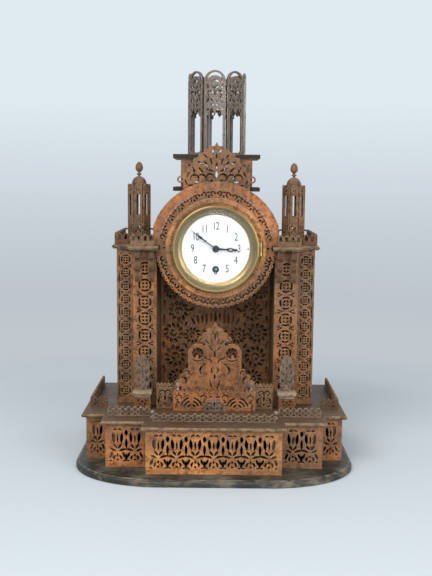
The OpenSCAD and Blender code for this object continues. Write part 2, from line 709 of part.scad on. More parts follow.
// Collar in two steps: the drum's flange lies on the lower one, the upper one has a beaded inner edge,
// cut away for the hinge
beads = 96;
collar_rise = 1.8;
module ring_collar() color("#a8623c") {
    upright(ring_y - collar_t, collar_t) translate([0, head_z]) difference() {
        circle(r = collar_r);
        circle(r = ring_hole);
        for (a = [90, 210, 330]) rotate(a) translate([screw_r, 0]) circle(r = 0.9);
    }
    upright(ring_y - collar_t - collar_rise, collar_rise) translate([0, head_z]) difference() {
        circle(r = collar_r - 0.6);
        difference() {
            circle(r = bezel_r + 3.4);
            for (k = [0:beads - 1]) rotate(360 / beads * (k + 0.5)) translate([bezel_r + 3.4, 0])
                circle(r = 1.25);
        }
        rect(bezel_r - 1, hinge_x + hinge_r + 0.8, -9, 9);
    }
}

// Arched housing: a bent board from the ring to the back
vault_t = 3.5;
vault_back = tower_back - 6;
module vault() color(wood_dark) upright(bay_y, vault_back - bay_y) translate([0, head_z]) difference() {
    circle(r = vault_r);
    circle(r = vault_r - vault_t);
    rect(-vault_r - 1, vault_r + 1, -vault_r - 1, -head_rise);
}

// Large arabesque between the towers, closing the back of the arch
back_fret_y = tower_back - 24;
module whorl(r, n) {
    volute(r * 0.29, 200, -60, r * 0.2);
    for (k = [0:n - 1]) rotate(360 / n * (k + 0.25)) translate([r * 0.76, 0]) leaf(r * 0.52, r * 0.29, 28);
}

module arabesque() {
    // Whorls: x, z, radius, direction
    for (q = [[21, 17, 12.6, 1], [49, 14, 12, -1], [51.6, 42.4, 14.6, 1], [23, 43.6, 12, -1], [53.8, 73.2,
        13.4, -1],
        [29.4, 70, 11, 1], [47, 101.4, 13.6, 1], [55.4, 128.6, 11.6, -1], [58.8, 151.4, 8.6, 1]])
        translate([q[0], q[1]]) scale([1, q[3]]) whorl(q[2], 11);
    // Comb of petals under the ring, then single leaves between the whorls: x, z, length, width, turn
    for (q = [[5.6, 94, 13, 3.2, 90], [11.2, 92, 15, 3.4, 90], [16.8, 92.4, 13, 3.4, 88], [22.4, 91, 13,
        3.4, 80],
        [28.4, 88.4, 12, 3.4, 64], [30.6, 103.6, 9, 3.6, 150], [66.4, 57.6, 11, 3.4, 84], [66, 91.4, 12,
            3.4, 96],
        [64.8, 110.4, 12, 3.4, 84], [38.4, 56.4, 8, 3.2, 60], [36.4, 29, 9, 3.2, 90], [35, 4.6, 9, 2.8, 0],
        [66.4, 26, 10, 3, 90], [13, 58.4, 9, 3.2, 120], [13, 74.4, 8, 3, 60], [6.6, 30, 8, 3, 90],
        [38, 84.4, 7, 3, 110], [66.4, 5, 7, 2.6, 90], [14, 172, 16, 4, 96], [38, 176, 16, 4, 60]])
        translate([q[0], q[1]]) leaf(q[2], q[3], q[4]);
}
module back_fret() color(wood) upright(back_fret_y) difference() {
    union() {
        rect(-tower_in, tower_in, floor_z, tower_z);
        translate([0, head_z]) intersection() {
            circle(r = vault_r - vault_t);
            rect(-vault_r, vault_r, -head_rise - 0.1, vault_r);
        }
    }
    translate([0, floor_z]) for (s = [-1, 1]) scale([s, 1]) arabesque();
    for (z = [14, 48, 72, 93]) translate([0, floor_z + z]) leaf(15, 4);
}

// Crown over the arch: two plates, four walls between them, a crest before them and a scroll on each side
crown_front = crown_y - crown_d / 2;
crown_in = 42;
crown_floor = crown_z + plate_t;
crown_top = crown_floor + crown_h;
lantern_z = crown_top + plate_t;
module crown_plates() color(wood_dark) for (z = [crown_z, crown_top])
    translate([-crown_w / 2, crown_front, z]) cube([crown_w, crown_d, plate_t]);

module scroll_pair(w, h) for (s = [-1, 1]) scale([s, 1]) {
    translate([w * 0.25, h * 0.55]) volute(min(w * 0.2, h * 0.3), 200, -80, h * 0.085);
    translate([w * 0.25, h * 0.14]) leaf(w * 0.3, h * 0.09, 8);
    translate([w * 0.42, h * 0.62]) leaf(h * 0.4, h * 0.09, 84);
}
module crown_walls() color(wood) {
    y0 = crown_front + 4;
    y1 = crown_front + crown_d - 4;
    w = 2 * crown_in;
    for (y = [y0, y1 - wall]) upright(y) translate([0, crown_floor]) difference() {
        rect(-crown_in, crown_in, 0, crown_h);
        scroll_pair(w * 0.9, crown_h);
        translate([0, crown_h * 0.5]) leaf(crown_h * 0.6, 4);
    }
    both() sideways(crown_in - wall) translate([(y0 + y1) / 2, crown_floor]) difference() {
        rect(-(y1 - y0) / 2 + wall, (y1 - y0) / 2 - wall, 0, crown_h);
        scroll_pair((y1 - y0) * 0.84, crown_h);
        translate([0, crown_h * 0.5]) leaf(crown_h * 0.6, 4);
    }
}

// Crest: a palmette with scroll piercings and an open loop at each end, glued to the plates' front edges
module crown_crest() color(wood_light) upright(crown_front - wall) translate([0, crown_floor]) difference() {
    union() {
        symmetric(concat([[39, -plate_t], [39, 9]], arc(3.2, -30, 120, 4, [36.6, 14]),
            arc(3.6, -10, 110, 4, [31, 20.4]), [[28.4, 27]], arc(3.2, -30, 110, 4, [24.6, 30.6]),
            arc(3.2, -20, 110, 4, [18.6, 36.2]), arc(3, -20, 110, 4, [12.6, 41]),
            arc(2.6, -20, 110, 4, [6.8, 45]), [[2.4, 47.4], [0.1, crest_h]]));
        for (s = [-1, 1]) translate([s * 41.8, 8.6]) circle(r = 4.3);
    }
    for (s = [-1, 1]) scale([s, 1]) {
        translate([41.8, 8.6]) circle(r = 2.4);
        translate([7.2, 10.4]) volute(4.6, 210, -110, 2.6);
        translate([17.4, 9.6]) bent(4.6, 30, 200, 2.4);
        translate([25.6, 9]) volute(5, -30, 250, 2.6);
        translate([8, 19.6]) leaf(11, 2.6, 22);
        translate([18, 19.4]) leaf(9, 2.5, 48);
        translate([26.6, 19.4]) leaf(9, 2.6, 70);
        translate([33, 14.4]) leaf(8, 2.4, 120);
        translate([35.4, 5]) leaf(7, 2.4, 66);
        translate([12.4, 27]) leaf(9, 2.2, 56);
        translate([6.4, 29.6]) leaf(10, 2.2, 72);
        translate([19.4, 27.6]) leaf(8, 2.2, 38);
        translate([12.6, 35.4]) leaf(6.4, 1.9, 46);
        translate([4.2, 40.4]) leaf(7, 1.8, 74);
        translate([16, 2.4]) leaf(9, 2, 4);
        translate([30, 1.6]) leaf(7, 1.9, -4);
    }
    translate([0, 14.6]) leaf(8, 2.6);
    translate([0, 25]) leaf(8, 2.4);
    translate([0, 36]) leaf(8, 2);
    translate([0, 2.4]) leaf(5, 2.2);
}

// Lantern: eight open frames with round heads and scroll fretwork
lantern_t = 3.2;
module lantern_panel() {
    w = side_of(lantern_r) - 2 * lantern_t * tan(22.5) - 0.06;
    h = lantern_h;
    post = 3.2;
    head = h * 0.55;
    top = h - w / 2;
    difference() {
        union() {
            rect(-w / 2, w / 2, 0, top);
            translate([0, top]) circle(r = w / 2);
        }
        // Tall opening between the posts, with a bracket in each corner and a pendant in the middle
        difference() {
            rect(-w / 2 + post, w / 2 - post, 2.6, head);
            for (s = [-1, 1]) {
                translate([s * (w / 2 - post), head]) circle(r = 4.6);
                translate([s * (w / 2 - post + 0.2), head - 6]) circle(r = 2.4);
                translate([s * (w / 2 - post), 2.6]) circle(r = 1.8);
            }
            translate([0, head]) leaf(11, 5);
        }
        translate([0, top]) bent(w * 0.345, 15, 165, w * 0.15);
        translate([0, top - 3]) {
            slot(w * 0.13, w * 0.21, 20, 160);
            slot(w * 0.13, w * 0.21, 200, 340);
        }
        for (s = [-1, 1]) scale([s, 1]) {
            translate([w / 2 - post - 1.5, head - 1.4]) circle(r = 1.4);
            translate([w * 0.22, top - 14]) volute(w * 0.12, 250, -60, w * 0.085);
            translate([w * 0.34, top - 5.6]) leaf(w * 0.26, w * 0.09, 74);
            translate([w * 0.13, top - 21.6]) leaf(w * 0.24, w * 0.09, 50);
            translate([w * 0.32, top - 21.6]) leaf(w * 0.26, w * 0.09, 110);
            translate([w * 0.12, head + 4.4]) leaf(w * 0.2, w * 0.07, 20);
        }
        translate([0, top - 13.4]) leaf(w * 0.32, w * 0.10);
    }
}
module lantern_panels() color(wood_dark) translate([0, crown_y, lantern_z]) rotate([0, 0, -5])
    octagon_sides(lantern_r, lantern_t) lantern_panel();

// Movement. Depths are counted back from the collar's front face, drawings are in X and Z about the dial
// centre
seat_y = ring_y - collar_t;
module at(d, t, p = [0, 0]) upright(seat_y + d, t) translate([p[0], head_z + p[1]]) children();
// Turned part on an arbor at p: a profile of [radius, depth]
module turned(p = [0, 0]) translate([p[0], seat_y, head_z + p[1]]) rotate([-90, 0, 0])
    rotate_extrude($fn = 96)
    children();

flange_t = 2;
bezel_gap = 0.05;
plate_front = 8;
plate_back = 35;
plate_gap = plate_back - plate_front - 1.5;
dial_r = drum_r - 1.2;
hinge_x = bezel_r + 2.2;
hinge_r = 1.6;
screw_r = 47.7;
pillar_at = [[30, 16], [-30, 16], [26, -22], [-26, -22]];

// Wheel train: tooth counts, modules and arbor positions
barrel_n = 64;
centre_leaves = 16;
barrel_m = 0.6;
centre_n = 60;
third_leaves = 10;
centre_m = 0.45;
third_n = 60;
escape_leaves = 8;
third_m = 0.4;
cannon_n = 12;
minute_n = 36;
minute_m = 0.5;
minute_leaves = 10;
hour_n = 40;
hour_m = 0.48;
escape_r = 6.5;
function step(p, a, d) = p + d * [cos(a), sin(a)];
wind_at = [0, -(barrel_n + centre_leaves) * barrel_m / 2];
third_at = step([0, 0], 155, (centre_n + third_leaves) * centre_m / 2);
escape_at = step(third_at, 60, (third_n + escape_leaves) * third_m / 2);
pallet_at = step(escape_at, 0, 9);
balance_at = step(pallet_at, 0, 13);
motion_at = [(cannon_n + minute_n) * minute_m / 2, 0];
click_at = [10.5, -17.5];

// A tooth's outline as [radius, half angle] from root to tip, turned to each of n places
function toothed(n, half) = [for (k = [0:n - 1]) each concat(
    [for (p = half) p[0] * [cos(360 / n * k - p[1]), sin(360 / n * k - p[1])]],
    [for (i = [len(half) - 1:-1:0]) half[i][0] * [cos(360 / n * k + half[i][1]), sin(360 / n * k +
        half[i][1])]])];
function wheel_teeth(n, m) = let (r = n * m / 2, h = 78 / n)
    toothed(n, [[r - 1.45 * m, h], [r + 0.1 * m, h * 0.94], [r + 0.95 * m, h * 0.35]]);
function pinion_teeth(n, m) = let (r = n * m / 2, h = 58 / n)
    toothed(n, [[r - 1.45 * m, h], [r, h], [r + 0.55 * m, h * 0.45]]);
// Angle of the driven wheel that meshes with a driver standing at angle a, the driven one lying towards th
function mesh(th, a, n_a, n_b) = th + 180 + 180 / n_b - (a - th) * n_a / n_b;
barrel_a = 90;
centre_a = mesh(90, barrel_a, barrel_n, centre_leaves);
third_a = mesh(155, 155, centre_n, third_leaves);
escape_a = mesh(60, 60, third_n, escape_leaves);
motion_a = mesh(0, 0, cannon_n, minute_n);
hour_a = mesh(180, 180, minute_leaves, hour_n);

// Crossings of a wheel: the openings between n arms, from hub radius a to rim radius b
module crossings(n, a, b, w) difference() {
    circle(r = b);
    circle(r = a);
    for (k = [0:n - 1]) rotate(360 / n * k) rect(0, b + 1, -w, w);
}
module spur(n, m, hub, bore, arms = 4) difference() {
    polygon(wheel_teeth(n, m));
    circle(r = bore);
    crossings(arms, hub, n * m / 2 - 2.4 * m - 0.6, 0.8);
}

// Case: drum with its front flange, inner ledge and hinge knuckles
module knuckle(z, h) {
    translate([hinge_x, seat_y - flange_t, head_z + z]) difference() {
        cylinder(r = hinge_r, h = h);
        translate([0, 0, -1]) cylinder(r = 0.6, h = h + 2);
    }
}
module drum_case() color(brass) difference() {
    union() {
        turned() polygon([[drum_r - 1, -flange_t], [bezel_r, -flange_t], [bezel_r, 0], [drum_r, 0], [drum_r,
            drum_d],
            [drum_r - 1, drum_d], [drum_r - 1, plate_front + 3.5], [drum_r - 4.5, plate_front + 3.5],
            [drum_r - 4.5, plate_front + 1.5], [drum_r - 1, plate_front + 1.5]]);
        for (z = [-8, 3.1]) {
            knuckle(z, 4.9);
            translate([bezel_r - 1.5, seat_y - flange_t, head_z + z]) cube([1.6 + 0.9, 1.2, 4.9]);
        }
    }
    for (a = [90, 210, 330]) turned(step([0, 0], a, screw_r)) polygon([[0, -flange_t - 1], [1.8,
        -flange_t - 1],
        [1.8, -flange_t], [0.9, -flange_t + 0.9], [0.9, 1], [0, 1]]);
    for (a = [30, 150, 270]) turned(step([0, 0], a, dial_r - 1.7)) square([0.7, 20]);
}
module back_cap() color(brass) turned() polygon([[0, drum_d], [drum_r, drum_d], [drum_r, drum_d - 6],
    [drum_r + 0.8, drum_d - 6], [drum_r + 0.8, drum_d + 0.2], [drum_r - 0.4, drum_d + 1], [0, drum_d + 1]]);
module case_screws() color("#8d8a80") for (a = [90, 210, 330]) turned(step([0, 0], a, screw_r))
    polygon([[0, -flange_t], [1.8, -flange_t], [0.9, -flange_t + 0.9], [0.9, collar_t - 1], [0,
        collar_t - 0.4]]);
module hinge_pin() color("#8d8a80") translate([hinge_x, seat_y - flange_t, head_z - 8.2]) cylinder(r = 0.6,
    h = 16.4);

// Bezel: profile of [radius, height in front of the flange]
bezel_base = flange_t + bezel_gap;
glass_r = bezel_r - 1.9;
glass_seat = 5.4;
glass_t = 1.2;
// Spun ring: a thin lip round the glass, and inside it a hollow slope down to the dial
function bezel_profile() = let (s = sight_r, r = bezel_r, g = glass_r, h = glass_seat) [[s, 0.3], [s + 2.2,
    0.3],
    [s + 4.4, 0.8], [g - 2.2, h - 2.6], [g - 0.6, h - 1.2], [r - 1, h - 1.2], [r - 1, 0], [r - 0.3, 0], [r,
        0.4],
    [r, h + 1], [r - 0.3, h + 1.6], [r - 0.9, h + 1.9], [g - 0.5, h + 1.8], [g - 0.8, h + 1.5], [g - 0.8,
        h + glass_t + 0.02],
    [g, h + glass_t + 0.02], [g, h], [g - 0.9, h], [g - 2.2, h - 1.1], [g - 3.4, h - 2.7], [s + 3.6, 1.5],
        [s + 1.7, 0.8],
    [s, 0.6]];
module bezel() color(brass) {
    difference() {
        union() {
            turned() polygon([for (p = bezel_profile()) [p[0], -bezel_base - p[1]]]);
            translate([bezel_r - 1.5, seat_y - bezel_base - 1.4, head_z - 2.9]) cube([2.4, 1.4, 5.8]);
            translate([hinge_x, seat_y - flange_t, head_z - 2.9]) cylinder(r = hinge_r, h = 5.8);
            translate([-bezel_r - 1.4, seat_y - bezel_base - 2, head_z - 2.5]) cube([2.6, 1.4, 5]);
        }
        translate([hinge_x, seat_y - flange_t, head_z - 4]) cylinder(r = 0.6 + fit, h = 8);
    }
}
// Domed glass, its rim in the bezel's groove
glass_rise = 3;
module bezel_glass() color([0.85, 0.9, 0.9, 0.3]) turned() {
    a = glass_r - 1.6;
    z = -bezel_base - glass_seat - 0.01;
    dome = [for (i = [0:8]) let (q = i / 8) [a * q, z - glass_rise * (1 - q * q)]];
    polygon(concat(dome, [[glass_r - 0.06, z], [glass_r - 0.06, z - glass_t]], [for (i = [8:-1:0])
        dome[i] - [0, glass_t]]));
}

// Dial with three feet that reach the front plate
module dial() color("#efece2") difference() {
    union() {
        turned() polygon([[0, -flange_t], [dial_r - 0.6, -flange_t], [dial_r, -flange_t + 0.4], [dial_r,
            -flange_t + 1.2],
            [0, -flange_t + 1.2]]);
        for (a = [60, 180, 300]) turned(step([0, 0], a, 35)) polygon([[0, -flange_t + 1], [0.9, -flange_t +
            1],
            [0.9, plate_front], [0, plate_front]]);
    }
    turned() translate([0, -flange_t - 1]) square([3, 4]);
    turned(wind_at) translate([0, -flange_t - 1]) square([3.4, 4]);
}

// Hands, drawn pointing up and turned to ten minutes before three
minute_rest = 306.7;
hour_rest = 93;
module minute_hand() color("#23262e") at(-6.2, 0.8) rotate(-minute_rest) difference() {
    l = minute_len;
    union() {
        circle(r = 2.6);
        symmetric([[0.7, 2], [0.55, l * 0.41], [1.5, l * 0.42], [1.5, l * 0.445], [0.55, l * 0.455], [0.5,
            l * 0.5],
            [1.3, l * 0.58], [1.5, l * 0.63], [1.1, l * 0.7], [0.5, l * 0.78], [0.3, l * 0.92], [0.1, l]]);
    }
    circle(r = 1.1);
}
module hour_hand() color("#23262e") at(-4.6, 0.8) rotate(-hour_rest) difference() {
    l = hour_len;
    union() {
        circle(r = 4);
        symmetric([[1.3, 3], [0.8, l * 0.47], [1.5, l * 0.52], [2.2, l * 0.6], [2.3, l * 0.68], [1.7,
            l * 0.78],
            [0.9, l * 0.82], [1.7, l * 0.87], [1.1, l * 0.92], [0.1, l]]);
    }
    circle(r = 2.4);
    translate([0, l * 0.66]) scale([1, 1.7]) circle(r = 1.2);
}

// Motion work in front of the front plate
module cannon_pinion() color("#8d8a80") {
    at(2, 2.5) difference() {
        polygon(pinion_teeth(cannon_n, minute_m));
        circle(r = 0.8);
    }
    turned() polygon([[0.8, -6.9], [1.1, -6.9], [1.1, -5.4], [1.65, -5.4], [1.65, 2], [0.8, 2]]);
}
module minute_wheel() color(brass) {
    at(2.8, 1.2, motion_at) difference() {
        rotate(motion_a) polygon(wheel_teeth(minute_n, minute_m));
        circle(r = 0.9 + fit);
        crossings(3, 3.4, 7, 0.7);
    }
    at(0.1, 2.7, motion_at) difference() {
        polygon(pinion_teeth(minute_leaves, hour_m));
        circle(r = 0.9 + fit);
    }
}
module hour_wheel() color(brass) {
    at(0.4, 1) difference() {
        rotate(hour_a) polygon(wheel_teeth(hour_n, hour_m));
        circle(r = 1.65 + fit);
    }
    turned() polygon([[1.65 + fit, -4.9], [2.4, -4.9], [2.4, 0.4], [1.65 + fit, 0.4]]);
}

// Plates with the holes of all arbors; the motion wheel's stud stands on the front plate
module arbor_holes() {
    circle(r = 1.2 + fit);
    translate(wind_at) circle(r = 2 + fit);
    for (p = [third_at, escape_at, pallet_at, balance_at]) translate(p) circle(r = 0.6 + fit);
    for (p = pillar_at) translate(p) circle(r = 1.5);
}
module movement_plates() color(brass) {
    at(plate_front, 1.5) difference() {
        circle(r = drum_r - 1);
        arbor_holes();
        for (a = [30, 150, 270]) rotate(a) translate([dial_r - 1.7, 0]) circle(r = 0.7);
    }
    turned(click_at) polygon([[0, plate_front + 1.5], [0.8, plate_front + 1.5], [0.8, plate_front + 3.4],
        [1.4, plate_front + 3.4], [1.4, plate_front + 3.8], [0, plate_front + 3.8]]);
    turned(motion_at) polygon([[0, -0.3], [0.9, -0.3], [0.9, 4.6], [1.6, 4.6], [1.6, plate_front], [0,
        plate_front]]);
    at(plate_back, 1.5) difference() {
        circle(r = 38);
        arbor_holes();
        for (p = [[17, -2], [-17, -6], [0, 30]]) translate(p) circle(r = 3);
    }
}
module pillars() color(brass) for (p = pillar_at) turned(p) polygon([[0, plate_front], [1.5, plate_front],
    [1.5, plate_front + 1.5], [2.4, plate_front + 1.5], [1.9, plate_front + 5], [1.9, plate_back - 3.5],
        [2.4, plate_back],
    [1.5, plate_back], [1.5, plate_back + 4], [0, plate_back + 4]]);
module plate_nuts() color("#8d8a80") for (p = pillar_at) at(plate_back + 1.5, 2, p) difference() {
    circle(r = 3.2, $fn = 6);
    circle(r = 1.5);
}
module plate_screws() color("#8d8a80") for (a = [30, 150, 270]) turned(step([0, 0], a, dial_r - 1.7))
    polygon([[0, plate_front - 1], [1.5, plate_front - 1], [1.5, plate_front], [0.7, plate_front],
        [0.7, plate_front + 3.5], [0, plate_front + 3.5]]);

// Going barrel with its wheel, mainspring and winding arbor
barrel_in = 14.5;
barrel_end = 30;
module barrel() color(brass) {
    at(12, 2, wind_at) difference() {
        rotate(barrel_a) polygon(wheel_teeth(barrel_n, barrel_m));
        circle(r = 2 + fit);
    }
    turned(wind_at) polygon([[barrel_in, 14], [barrel_in + 1, 14], [barrel_in + 1, barrel_end], [2 + fit,
        barrel_end],
        [2 + fit, barrel_end - 1], [barrel_in, barrel_end - 1]]);
}
coils = 7;
function coil(r0, r1, turns, n) = [for (i = [0:n * turns]) let (q = i / (n * turns)) (r0 + (r1 - r0) * q)
    * [cos(360 * i / n), sin(360 * i / n)]];
module spiral(r0, r1, turns, w, n = 20) polygon(concat(coil(r0, r1, turns, n),
    [for (i = [n * turns:-1:0]) let (q = i / (n * turns)) (r0 - w + (r1 - r0) * q) * [cos(360 * i / n),
        sin(360 * i / n)]]));
module mainspring() color("#4a5058") at(14.4, barrel_end - 16.2, wind_at) spiral(4.2, barrel_in, coils, 0.5);
module winding_arbor() color("#8d8a80") {
    turned(wind_at) polygon([[0, -1], [1.6, -1], [2, plate_front - 1], [2, 14.2], [3.4, 14.4], [3.4,
        barrel_end - 1.8],
        [2, barrel_end - 1.4], [2, plate_back + 2.5], [0, plate_back + 2.5]]);
    at(-1.6, 6, wind_at) rotate(45) circle(r = 2.3, $fn = 4);
    at(plate_front + 1.9, 1.4, wind_at) polygon([for (k = [0:15]) each [for (p = [[6, 0], [4.9, 2]])
        p[0] * [cos(22.5 * k + p[1]), sin(22.5 * k + p[1])]]]);
}
module click() color("#8d8a80") {
    at(plate_front + 1.9, 1.4, click_at) difference() {
        union() {
            circle(r = 1.9);
            polygon([[-1.4, 1.4], [-6.5, -1.7], [-5.6, -2.1], [0.6, -1.6]]);
        }
        circle(r = 0.8 + fit);
    }
}
module centre_wheel() color(brass) {
    turned() polygon([[0, -7.2], [0.8, -7.2], [0.8, 4.6], [1.2, 5], [1.2, 30.5], [2.6, 30.5], [2.6, 32],
        [1.2, 32],
        [1.2, plate_back + 2], [0, plate_back + 2]]);
    at(11.3, 3.5) rotate(centre_a) difference() {
        polygon(pinion_teeth(centre_leaves, barrel_m));
        circle(r = 1.1);
    }
    at(32, 1.6) difference() {
        rotate(155) spur(centre_n, centre_m, 3.4, 1.1, 5);
    }
}
module third_wheel() color(brass) {
    turned(third_at) polygon([[0, 7.6], [0.6, 7.6], [0.6, 10.2], [1, 10.4], [1, 19.8], [2.4, 19.8], [2.4,
        21.4], [1, 21.4],
        [1, plate_back - 0.4], [0.6, plate_back - 0.2], [0.6, plate_back + 1.8], [0, plate_back + 1.8]]);
    at(31, 3.4, third_at) rotate(third_a) difference() {
        polygon(pinion_teeth(third_leaves, centre_m));
        circle(r = 0.9);
    }
    at(19, 0.8, third_at) rotate(60) spur(third_n, third_m, 2.6, 0.9, 4);
}
module escape_wheel() color(brass) {
    turned(escape_at) polygon([[0, 7.6], [0.6, 7.6], [0.6, 10.2], [0.8, 10.4], [0.8, 25.8], [1.8, 25.8],
        [1.8, 27],
        [0.8, 27], [0.8, plate_back - 0.4], [0.6, plate_back - 0.2], [0.6, plate_back + 1.8], [0,
            plate_back + 1.8]]);
    at(17.5, 4, escape_at) rotate(escape_a) difference() {
        polygon(pinion_teeth(escape_leaves, third_m));
        circle(r = 0.7);
    }
    at(25, 0.8, escape_at) difference() {
        polygon([for (k = [0:14]) each [for (p = [[escape_r, 0], [escape_r, 1.5], [escape_r - 1.8, 6],
            [escape_r - 1.8, 18]])
            p[0] * [cos(24 * k + p[1]), sin(24 * k + p[1])]]]);
        circle(r = 0.7);
        crossings(4, 1.9, escape_r - 2.6, 0.5);
    }
}

// Lever with two pins that stand clear of the escape wheel by pin_gap, and a fork towards the balance
pin_gap = 0.3;
module pallet_lever() color("#8d8a80") {
    pin = (escape_r + pin_gap + 0.3) * [cos(36), sin(36)] - [9, 0];
    turned(pallet_at) polygon([[0, 7.6], [0.6, 7.6], [0.6, plate_back + 1.8], [0, plate_back + 1.8]]);
    at(23.6, 0.8, pallet_at) difference() {
        union() {
            circle(r = 1.6);
            for (s = [-1, 1]) scale([1, s]) polygon([[0, -1], [0.4, 1], pin + [0.3, 0.9], pin + [-0.7, 0.2],
                pin + [-0.2, -0.7]]);
            polygon([[0, -0.9], [10.6, -0.5], [11.2, -1.3], [11.4, -0.5], [10.9, 0], [11.4, 0.5], [11.2,
                1.3], [10.6, 0.5], [0, 0.9]]);
        }
        circle(r = 0.5);
    }
    for (s = [-1, 1]) turned(pallet_at + [pin[0], s * pin[1]]) polygon([[0, 24.2], [0.3, 24.2], [0.3, 26.2],
        [0, 26.2]]);
}
module balance_wheel() color(brass) {
    turned(balance_at) polygon([[0, 7.6], [0.6, 7.6], [0.6, 11.6], [1.2, 11.6], [1.2, 13], [0.6, 13], [0.6,
        23], [1.1, 23],
        [1.1, 25], [0.6, 25], [0.6, 28], [1.6, 28], [1.6, 30], [0.6, 30], [0.6, plate_back + 1.8], [0,
            plate_back + 1.8]]);
    at(28.5, 1.2, balance_at) difference() {
        circle(r = 9);
        circle(r = 0.5);
        crossings(3, 2, 7.8, 0.6);
    }
}
module hairspring() color("#3a4a6a") {
    at(12, 0.5, balance_at) spiral(1.6, 6, 6, 0.25, 16);
    turned(balance_at + [5.9, 0]) polygon([[0, plate_front + 1.5], [0.7, plate_front + 1.5], [0.7, 12.7],
        [0, 12.7]]);
}

plinth();
base_centre_panel();
base_step_panels();
base_end_walls();
base_back_panel();
glue_blocks();
top_board();
front_rails();
end_rails();
turned_knobs();
front_crest();
balustrade();
alcove_panels();
centre_ornament();
pedestal_sides();
pedestal_caps();
leaf_sprays();
tower_bay_panels();
tower_wing_panels();
tower_side_walls();
tower_back_walls();
tower_slabs();
corbels();
tower_rails();
turret_panels();
turret_domes();
ring_fret();
ring_collar();
vault();
back_fret();
crown_plates();
crown_walls();
crown_crest();
lantern_panels();
drum_case();
back_cap();
case_screws();
hinge_pin();
bezel();
bezel_glass();
dial();
minute_hand();
hour_hand();
cannon_pinion();
minute_wheel();
hour_wheel();
movement_plates();
pillars();
plate_nuts();
plate_screws();
barrel();
mainspring();
winding_arbor();
click();
centre_wheel();
third_wheel();
escape_wheel();
pallet_lever();
balance_wheel();
hairspring();
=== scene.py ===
"""Fretwork mantel clock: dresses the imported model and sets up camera, floor and light."""

from __future__ import annotations

import logging
import math
from dataclasses import dataclass, field
from enum import Enum

import bmesh
import bpy
import numpy as np
from mathutils import Euler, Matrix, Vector


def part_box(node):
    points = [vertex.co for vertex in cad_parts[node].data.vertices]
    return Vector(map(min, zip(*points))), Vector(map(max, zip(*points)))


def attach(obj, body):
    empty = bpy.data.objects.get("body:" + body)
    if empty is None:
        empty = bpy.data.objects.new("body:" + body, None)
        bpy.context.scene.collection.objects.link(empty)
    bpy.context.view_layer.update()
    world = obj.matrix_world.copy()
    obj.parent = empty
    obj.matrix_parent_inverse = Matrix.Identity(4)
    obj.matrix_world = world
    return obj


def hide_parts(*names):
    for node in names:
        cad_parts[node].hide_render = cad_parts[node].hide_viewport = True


log = logging.getLogger("fretwork_clock")

Triple = tuple[float, float, float]  # a colour, a place in metres or a scale
Profile = tuple[tuple[float, float], ...]  # points of radius and depth, in millimetres
Socket = bpy.types.NodeSocket

MM = 0.001
MERGE = 2e-6  # metres: points of a CAD mesh closer than this are one
DOUBLE = 1e-7  # metres: the same for a new mesh
CREASE = 35.0  # degrees: edges sharper than this stay sharp
TURNED_CREASE = 30.0  # degrees: the same for the bezel and its glass
POLE = 1e-6  # millimetres: a profile that ends closer to its axis ends in a pole
CORNER_CUTS = 2  # times each corner of a turned profile is cut
SIDE = (0.31, 1.0, 0.57)  # a direction that tells a board's two broad sides apart
FLATNESS = 0.95  # cosine: a face that looks this much along the broad direction is broad
WHOLE = (1.0, 1.0, 1.0)  # object coordinates as they are
IMAGE_HEIGHT = 576.0  # pixels
SENSOR_HEIGHT = 24.0  # millimetres

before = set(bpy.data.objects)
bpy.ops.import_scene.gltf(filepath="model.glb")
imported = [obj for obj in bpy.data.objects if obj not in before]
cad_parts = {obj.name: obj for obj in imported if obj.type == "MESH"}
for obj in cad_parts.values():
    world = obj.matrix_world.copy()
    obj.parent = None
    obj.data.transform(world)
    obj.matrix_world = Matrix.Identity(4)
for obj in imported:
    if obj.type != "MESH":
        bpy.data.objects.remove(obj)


class Grain(Enum):
    """Which way the grain of a board runs, as the scale of the pattern along X, Y and Z."""

    ACROSS = (0.10, 1.0, 1.0)
    DEEP = (1.0, 0.10, 1.0)
    UPRIGHT = (1.0, 1.0, 0.10)


class Pattern(Enum):
    """The noises of the finishes, each as its scale per metre, its detail and its roughness."""

    FIGURE = (150.0, 5.0, 0.62)
    PORES = (1500.0, 3.0, 0.7)
    PATCHES = (26.0, 4.0, 0.6)
    GRIME = (190.0, 4.0, 0.65)
    FILM = (13.0, 2.0, 0.5)
    FLECKS = (650.0, 2.0, 0.6)
    STAIN = (260.0, 6.0, 0.72)
    RUBBING = (34.0, 4.0, 0.6)
    TARNISH = (60.0, 5.0, 0.6)
    SCRATCHES = (2600.0, 2.0, 0.5)
    GLAZE = (30.0, 3.0, 0.55)
    SPECKS = (900.0, 1.0, 0.55)
    GLASS_FILM = (45.0, 4.0, 0.55)
    INK = (500.0, 2.0, 0.55)
    FLOOR = (3.0, 2.0, 0.55)


